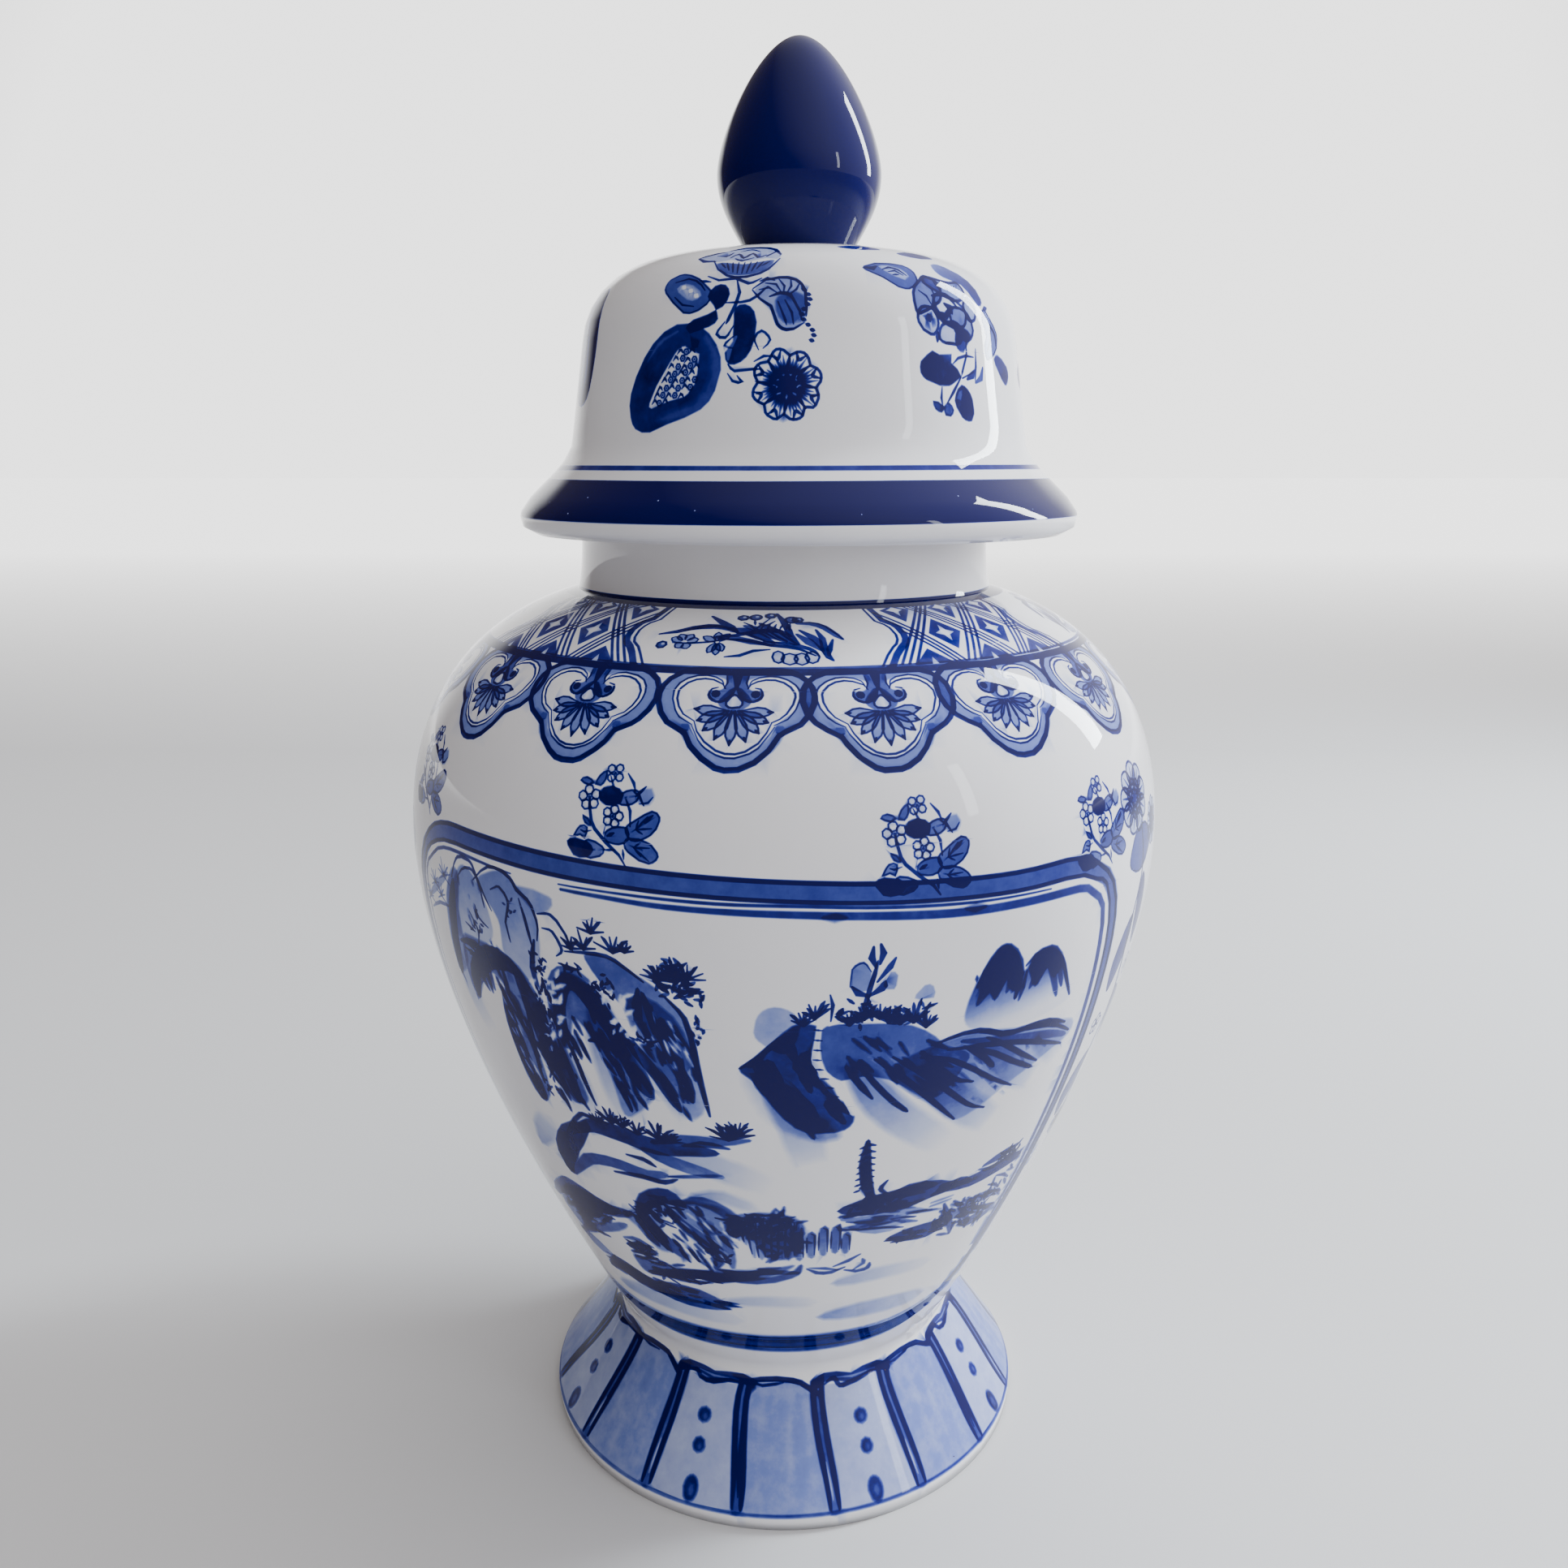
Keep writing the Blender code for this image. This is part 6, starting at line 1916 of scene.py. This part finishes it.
    # the half-open bloom seen from the side
    m.wash([(-11, 76), (-8, 79), (-4, 80.4), (-0.6, 79.2), (1.2, 75), (1.4, 69.6), (-0.6, 66),
            (-3.4, 64.8), (-5.8, 66.4), (-6.8, 70), (-9.6, 73)], 0.30, soft=0.5)
    m.wash([(-5.4, 74), (-2, 75.4), (1, 73.4), (0.4, 69), (-2.6, 66.6), (-5.2, 68.4), (-6, 71.6)], 0.5,
           soft=0.8)
    strokes(m, [
        (0.9, 1.1, [(-11.4, 76.4), (-8.4, 79), (-4.4, 79.8), (-1.4, 79), (0.6, 76.6), (1.2, 72.4),
                    (1.2, 68.6)]),
        (0.9, 1.1, [(-11.4, 76), (-9.6, 73.4), (-7, 71.4), (-6, 67.6), (-4.2, 65.4), (-1.6, 65.4),
                    (0.6, 67)]),
        (0.6, 1.05, [(-10, 76), (-7.6, 76.6), (-5.6, 75)]),
        (0.6, 1.05, [(-8.6, 78), (-6, 77.6), (-4.8, 75.4)]),
        (0.6, 1.05, [(-5.4, 79.2), (-4, 77), (-4.2, 75)]),
        (0.6, 1.05, [(-2.6, 79.4), (-2.4, 77), (-3.4, 75)]),
        (0.6, 1.05, [(-0.4, 78), (-1.2, 76), (-2.8, 74.6)]),
        (1.0, 1.1, [(-7.4, 74), (-5, 75), (-2.6, 74.4), (-1, 71.6)]),
        (0.6, 1.05, [(-5.4, 72.6), (-4, 69), (-3.4, 66.4)]),
        (0.6, 1.05, [(-3.8, 73), (-2.2, 69.6), (-1.8, 66.6)]),
        (0.6, 1.05, [(-2, 73), (-0.4, 70), (0, 68)]),
        (0.9, 1.1, [(-9, 71.4), (-7.4, 69.4), (-6.6, 68)]),
    ])
    for k in range(11):
        x, y = 0.6 + 1.1 * math.sin(0.9 * k) + 0.12 * k, 76 - 1.35 * k
        m.brush([(x - 0.35, y), (x + 0.35, y - 0.2)], 1.1, 1.1, tips=(0.8, 0.8))


def peony_spray(painting, turn, mirror=1):
    """The second lid spray: a big open peony among leaves, dark fruit hanging under it."""
    m = Scene(painting, 38.0, turn, mirror)
    m.wash([(38, 84.4), (38.4, 87.4), (41.6, 88.2), (45, 86.6), (49, 83.6), (51.4, 79.4), (51.6, 75.4),
            (49.4, 74.2), (47.6, 77), (45.4, 80.4), (41.6, 81.4), (39.6, 82.4)], 1.05, soft=0.6,
           fade=[(51, 76), (38, 87)], end_ink=0.6)
    leaf(m, [(16, 83.6), (19, 85.6), (23, 86.2), (27.6, 85.6), (30, 83), (29.8, 79.4), (27, 77.2),
             (24, 77.6), (21.4, 79.8), (18.6, 81.6)], 0.62)
    m.wash([(20, 84.6), (23, 85.2), (26.6, 83.8), (28, 81.4), (26.4, 80), (23.6, 81.2), (21.4, 83)], 0.0,
           lift=0.6)
    strokes(m, [
        (1.6, 1.05, [(16.2, 83.8), (18.4, 83.6), (19.6, 84.6)]),
        (0.7, 1.1, [(21, 83.4), (23, 84.4), (25.6, 83.6), (27.4, 81.6)]),
        (0.6, 1.1, [(22.4, 82.6), (24.4, 83.2), (26.4, 81.6)]),
        (0.6, 1.1, [(23.4, 81.6), (25.2, 81.8)]),
    ])
    # peony petals, layered from the back
    for outline, ink in (
        ([(28, 70.6), (27.8, 76), (30, 79.6), (33, 81.6), (36.4, 79.4), (35.6, 75), (33, 72.6)], 0.5),
        ([(31.6, 79.6), (33, 82), (37, 81), (41, 80.4), (43.6, 81), (45, 78), (42, 75), (37, 75.6)],
         0.42),
        ([(33.4, 75), (36, 76.4), (40, 75), (43.4, 72), (42.4, 68), (38, 68), (34.6, 70)], 0.10),
        ([(28, 69), (29.4, 72.2), (32.6, 71.6), (34, 68), (32.4, 65), (29.4, 66)], 0.22),
        ([(35, 67.6), (38.6, 68.6), (41.6, 66.6), (40.6, 63.4), (37, 62.6), (34, 64)], 0.22),
        ([(38, 72), (40.6, 73), (44, 71.4), (45.6, 67), (43.6, 64), (40, 65.4), (38, 69)], 0.4),
        ([(43, 74), (45.6, 76), (47.6, 73.6), (46.6, 70), (44, 70)], 0.3),
    ):
        m.wash(outline, ink, soft=0.4)
        m.brush(outline, 0.85, 1.05, closed=True, steady=0.2)
    strokes(m, [
        (1.5, 1.15, [(33, 75.6), (36, 76.4), (38.6, 75.6), (40.6, 73)]),
        (1.4, 1.15, [(33.4, 75), (33, 72), (34.6, 69.4), (37.6, 67.6), (40.4, 67)]),
        (2.0, 1.1, [(34.6, 71), (36.4, 70), (37.4, 72)]),
        (2.2, 1.05, [(36.4, 73.6), (38, 72.6), (38.6, 71)]),
        (2.6, 1.0, [(30.4, 69), (32, 69.6)]),
        (0.6, 1.05, [(29.4, 77), (31.4, 75.4), (32.4, 73)]),
        (0.6, 1.05, [(31.4, 79.6), (33.6, 77.6), (34, 75)]),
        (0.6, 1.05, [(35, 80.6), (36, 78)]),
        (0.6, 1.05, [(38.6, 80), (39, 77.6)]),
        (0.6, 1.05, [(42, 79.6), (41.6, 77)]),
        (1.6, 1.1, [(33.6, 65.6), (33.2, 63)]),
        (1.0, 1.1, [(35.6, 62.8), (38.4, 63.2)]),
        (0.8, 1.1, [(44.4, 75.6), (46, 74.6), (47.6, 72.6)]),
    ])
    m.wash([(39.6, 66.6), (42, 67.4), (44.6, 65.6), (43, 63), (41.4, 60.6), (39.4, 61.6), (38.8, 64)],
           1.0)
    # the bud and leaf at the side, the stems, and the dark fruit
    leaf(m, [(50, 70.6), (51.6, 73.4), (54, 70.4), (56.6, 67), (56, 63), (53.4, 60.4), (50.6, 59.4),
             (50, 63), (51.4, 66)], 0.5)
    strokes(m, [
        (0.9, 1.1, [(51, 70), (53.4, 69), (55.6, 66.4), (55.6, 63.4)]),
        (1.2, 0.0, [(52, 68), (51.6, 64)]),
        (1.0, 1.1, [(53.4, 68.6), (53, 65), (51, 61.6)]),
        (1.5, 1.0, [(51.6, 73.6), (53.4, 74)]),
        (0.8, 1.1, [(37.6, 57.4), (39.4, 59), (42, 59.8), (45, 59.6)]),
        (0.8, 1.1, [(42.6, 63.4), (42.4, 60), (41, 56.6), (40.2, 54.4)]),
        (0.9, 1.1, [(46, 62), (45.6, 57), (45, 53)]),
        (1.0, 1.1, [(40, 54), (38.6, 51.6), (36.6, 49), (35, 46.6)]),
        (0.9, 1.1, [(33.8, 51), (33.4, 48), (33.6, 46)]),
        (1.2, 1.1, [(40.4, 53.6), (42.6, 54.4), (44.6, 55.6)]),
        (2.2, 1.1, [(42, 53.4), (44, 54.6), (45, 56)]),
        (2.0, 0.8, [(45, 52.6), (47.4, 54), (48.4, 57)]),
    ])
    m.wash([(54, 59.6), (56, 61), (58.6, 60), (61.4, 58), (62, 55.4), (60, 52.8), (58, 53.6),
            (55.6, 56.6)], 1.15, soft=0.6)
    m.wash([(28, 54.6), (28.2, 57.6), (30, 59.4), (31.6, 60.6), (33.6, 59.6), (36, 59.8), (37.4, 60),
            (37, 57.6), (39, 56), (40, 54), (38, 52.6), (36, 51.4), (33, 51.4), (31, 52.4), (29.4, 52.8)],
           1.4, soft=0.5)
    m.wash([(37.4, 47.4), (38.6, 50.6), (40, 51.8), (42, 50.6), (43.4, 48), (43.6, 44), (42.6, 42),
            (40.4, 42.2), (38.6, 44)], 1.35, soft=0.5)
    m.wash([(38, 48), (39, 50), (40, 50.4), (39.4, 47.6)], 0.0, lift=0.45)
    leaf(m, [(31, 47), (32.4, 46.8), (34.2, 45.4), (33.2, 44.2), (31.6, 45)], 1.05)
    leaf(m, [(34.2, 45.6), (35.6, 46.6), (36.8, 44.8), (35.8, 43.2), (34.4, 43.4)], 0.8)


def hanging_leaf(painting, turn, mirror=1):
    """A big single leaf between the sprays, very dark on its outer half."""
    m = Scene(painting, -69.0, turn, mirror)
    m.wash([(-62, 81), (-65, 81.8), (-70, 80), (-74.6, 75), (-77, 66), (-77, 58), (-75, 51), (-71, 47.6),
            (-66, 47.6), (-62.6, 52), (-61, 60), (-60.4, 68), (-60.8, 76)], 0.75, soft=0.6)
    m.wash([(-61.6, 80), (-65, 80.6), (-67.6, 76), (-66.6, 66), (-66, 56), (-68.6, 49), (-65, 48.4),
            (-62.4, 53), (-61, 62), (-60.8, 72)], 0.6, soft=1.0)
    m.wash([(-69.6, 74), (-73, 70), (-74, 60), (-72.6, 54), (-70, 53), (-69, 62)], 0.0, lift=0.7,
           soft=1.2)
    m.brush([(-64, 81), (-68.6, 70), (-69.6, 58), (-70.6, 49)], 0.8, 1.15)


for spray_turn in (-20.0, 160.0, 223.0):
    fruit_spray(lid, spray_turn)
peony_spray(lid, 38.0)
peony_spray(lid, 96.0, -1)
hanging_leaf(lid, -69.0)
hanging_leaf(lid, 124.0, -1)
for leaf_turn, leaf_up in ((18.0, 96.0), (36.0, 92.6), (-60.0, 94.0), (130.0, 93.0)):
    tip_leaf = Motif(lid, leaf_turn, leaf_up)
    tip_leaf.wash([(-6, 0), (-2, 2.2), (3, 2), (6.6, -0.6), (2.6, -2), (-2.4, -1.8)], 1.05, soft=0.6)

LID_SPLITS = (0.0, 61.0, lid_wall.high)
LINING_START = 25.0
BRIM_UNDER = (79.0, 320.0)
CROWN_TOP = 397.0
CROWN_UNDER = 392.0
lid_glaze = glaze_material("lid_porcelain", 0.28)
for number, (low, high) in enumerate(zip(LID_SPLITS, LID_SPLITS[1:])):
    if number == 0:
        lining = inner_face(lid_wall, LID_WALL, LINING_START, high)
        under = arc(ROLL_CENTRE, ROLL_RADIUS, math.pi, 1.5 * math.pi, 8)
        back = [rim_of(lid_wall, high), *lining, BRIM_UNDER, *under]
    else:
        lining = inner_face(lid_wall, LID_WALL, low, high)
        vent = [(VENT_RADIUS, CROWN_TOP), (VENT_RADIUS, CROWN_UNDER)]
        back = [rim_of(lid_wall, high), *vent, *lining, rim_of(lid_wall, low)]
    piece = painted_wall(f"painted_lid_{number + 1}", lid, low, high, [back])
    piece.data.materials.append(lid_glaze)
    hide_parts("lid_dome")
    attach(piece, "lid")

# ------------------------------------------------------------------------------- seat ring
# The flange inside the lid's mouth and the collar under it, wiped bare so that the lid doesn't
# stick to the neck in the kiln. Fired porcelain clay: pale, warm, and dry.

SEAT_EDGE = 78.7
SEAT_UNDER = 312.8
SEAT_TOP = 317.3
COLLAR_BORE = 50.7
COLLAR_END = 304.7
COLLAR_RADIUS = 55.2
COLLAR_ROOT = 311.0
seat_chain = [
    (SEAT_EDGE, SEAT_UNDER),
    (SEAT_EDGE, SEAT_TOP),
    (52.2, SEAT_TOP),
    *arc((52.2, 315.8), 1.5, math.pi / 2, math.pi, 5),
    (COLLAR_BORE, COLLAR_END),
    *arc((51.9, COLLAR_END), 1.2, math.pi, 1.5 * math.pi, 5),
    *arc((54.0, COLLAR_END), 1.2, -math.pi / 2, 0, 5),
    (COLLAR_RADIUS, COLLAR_ROOT),
    *arc((57.0, COLLAR_ROOT), 1.8, math.pi, math.pi / 2, 5),
    (SEAT_EDGE, SEAT_UNDER),
]
seat_piece = turned_piece("bare_seat", seat_chain, LID_SHIFT)
clay = bpy.data.materials.new("bare_clay")
clay.use_nodes = True
clay_shader = clay.node_tree.nodes["Principled BSDF"]
start = Value(clay.node_tree, clay_shader.outputs[0])
here = start.node("ShaderNodeTexCoord", out=3)
mottle = noise(start, here, 90.0, 5.0, 0.6)
grit = noise(start, here, 900.0, 3.0, 0.6)
clay_colour = start.node(
    "ShaderNodeValToRGB",
    {"stops": [(0.3, (0.50, 0.42, 0.33)), (0.5, (0.66, 0.58, 0.48)), (0.75, (0.76, 0.70, 0.62))]},
    Fac=0.7 * mottle + 0.3 * grit,
)
clay.node_tree.links.new(clay_colour.socket, clay_shader.inputs["Base Color"])
clay.node_tree.links.new((0.62 + 0.25 * mottle).socket, clay_shader.inputs["Roughness"])
grain_bump = start.node("ShaderNodeBump", Height=grit + 0.5 * mottle, Strength=0.5, Distance=0.0002)
clay.node_tree.links.new(grain_bump.socket, clay_shader.inputs["Normal"])
seat_piece.data.materials.append(clay)
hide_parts("lid_seat_ring")
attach(seat_piece, "lid")

# ------------------------------------------------------------------------------- finial
# The hollow bud knob, luted over the crown's vent and dipped in solid navy glaze.

FINIAL_BELLY = (25.3, 417.5)
FINIAL_TIP = (0.0, 456.8)
FINIAL_FLARE = math.radians(29.3)
FINIAL_LOWER = 22
FINIAL_UPPER = 39.3
FINIAL_WALL = 4.5
foot_pull = 0.37 * FINIAL_LOWER
finial_low = bezier(
    FINIAL_FOOT,
    (FINIAL_FOOT[0] + foot_pull * math.sin(FINIAL_FLARE),
     FINIAL_FOOT[1] + foot_pull * math.cos(FINIAL_FLARE)),
    (FINIAL_BELLY[0], FINIAL_BELLY[1] - 0.40 * FINIAL_LOWER),
    FINIAL_BELLY,
    24,
)
finial_high = bezier(
    FINIAL_BELLY,
    (FINIAL_BELLY[0], FINIAL_BELLY[1] + 0.29 * FINIAL_UPPER),
    (0.46 * FINIAL_BELLY[0], FINIAL_TIP[1]),
    FINIAL_TIP,
    48,
)
finial_outer = np.vstack([finial_low, finial_high[1:]])
finial_along = np.gradient(finial_outer, axis=0)
finial_along /= np.hypot(*finial_along.T)[:, None]
inward = np.stack([-finial_along[:, 1], finial_along[:, 0]], 1)
finial_inner = finial_outer + FINIAL_WALL * inward
finial_inner = finial_inner[finial_inner[:, 0] > 1.5][::3]
finial_chain = [
    *finial_outer[::-1],
    (FINIAL_FOOT[0] - FINIAL_WALL, FINIAL_FOOT[1] + 0.1),
    *finial_inner[1:],
    (FINIAL_TIP[0], FINIAL_TIP[1] - FINIAL_WALL),
]
finial_piece = turned_piece("navy_finial", finial_chain, LID_SHIFT)
finial_piece.data.materials.append(
    glaze_material("navy_porcelain", 0.16, plain_ink=1.75)
)
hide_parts("finial")
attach(finial_piece, "lid")

# ------------------------------------------------------------------------------- floor and light
# A wide pale floor that fades into the backdrop behind the jar. A tall window stands on the right
# and the room is darker on the left, so the glaze shows one crisp bright strip.

FLOOR_HALF = 40.0
FADE_START = 1.1
FADE_PER_METRE = 0.27
floor_data = bpy.data.meshes.new("floor")
floor_work = bmesh.new()
bmesh.ops.create_grid(floor_work, x_segments=1, y_segments=1, size=FLOOR_HALF)
floor_work.to_mesh(floor_data)
floor_work.free()
floor = bpy.data.objects.new("floor", floor_data)
bpy.context.scene.collection.objects.link(floor)
floor_material = bpy.data.materials.new("floor")
floor_material.use_nodes = True
floor_shader = floor_material.node_tree.nodes["Principled BSDF"]
floor_shader.inputs["Roughness"].default_value = 0.6
floor_shader.inputs["Emission Strength"].default_value = 1.0
ground = Value(floor_material.node_tree, floor_shader.outputs[0])
spot = ground.node("ShaderNodeTexCoord", out=3)
away = ground.node("ShaderNodeSeparateXYZ", out=1, Vector=spot)
fade = ((away - FADE_START) * FADE_PER_METRE).clamped()
for socket, near_tone, far_tone in (
    ("Base Color", (0.52, 0.52, 0.53, 1), (0, 0, 0, 1)),
    ("Emission Color", (0, 0, 0, 1), (2.5, 2.5, 2.5, 1)),
):
    tone = fade.node("ShaderNodeMix", {"data_type": "RGBA"}, out=2, i0=fade, i6=near_tone, i7=far_tone)
    floor_material.node_tree.links.new(tone.socket, floor_shader.inputs[socket])
floor_data.materials.append(floor_material)


def soft_light(name, size, energy, place, aim, colour):
    data = bpy.data.lights.new(name, "AREA")
    data.shape = "RECTANGLE"
    data.size, data.size_y = size
    data.energy = energy
    data.color = colour
    light = bpy.data.objects.new(name, data)
    light.location = place
    light.rotation_euler = (Vector(aim) - Vector(place)).to_track_quat("-Z", "Y").to_euler()
    bpy.context.scene.collection.objects.link(light)


JAR_MIDDLE = (0, 0, 0.3)
soft_light("window", (0.22, 1.1), 52, (1.3, 0.5, 1.05), JAR_MIDDLE, (0.86, 0.94, 1.0))
soft_light("second_window", (0.09, 0.5), 3.0, (1.1, -0.8, 0.75), JAR_MIDDLE, (0.9, 0.95, 1.0))

world = bpy.data.worlds.new("studio")
world.use_nodes = True
backdrop = world.node_tree.nodes["Background"]
sky = Value(world.node_tree, backdrop.outputs[0])
facing = sky.node("ShaderNodeTexCoord")
across = sky.node("ShaderNodeSeparateXYZ", out=0, Vector=facing)
behind = sky.node("ShaderNodeSeparateXYZ", out=1, Vector=facing)
upward = sky.node("ShaderNodeSeparateXYZ", out=2, Vector=facing)
room = sky.node(
    "ShaderNodeValToRGB",
    {"stops": [(0.15, (0.12, 0.10, 0.085)), (0.55, (0.25, 0.215, 0.19)), (0.95, (2.4, 2.38, 2.4))]},
    Fac=(0.5 + 0.40 * across - 0.05 * behind + 0.30 * upward).clamped(),
)
studio = sky.node(
    "ShaderNodeMix",
    {"data_type": "RGBA"},
    out=2,
    i0=((behind - 0.70) * 6).clamped() * ((0.42 - upward) * 10).clamped(),
    i6=room,
    i7=(2.6, 2.6, 2.6, 1.0),
)
world.node_tree.links.new(studio.socket, backdrop.inputs["Color"])
bpy.context.scene.world = world
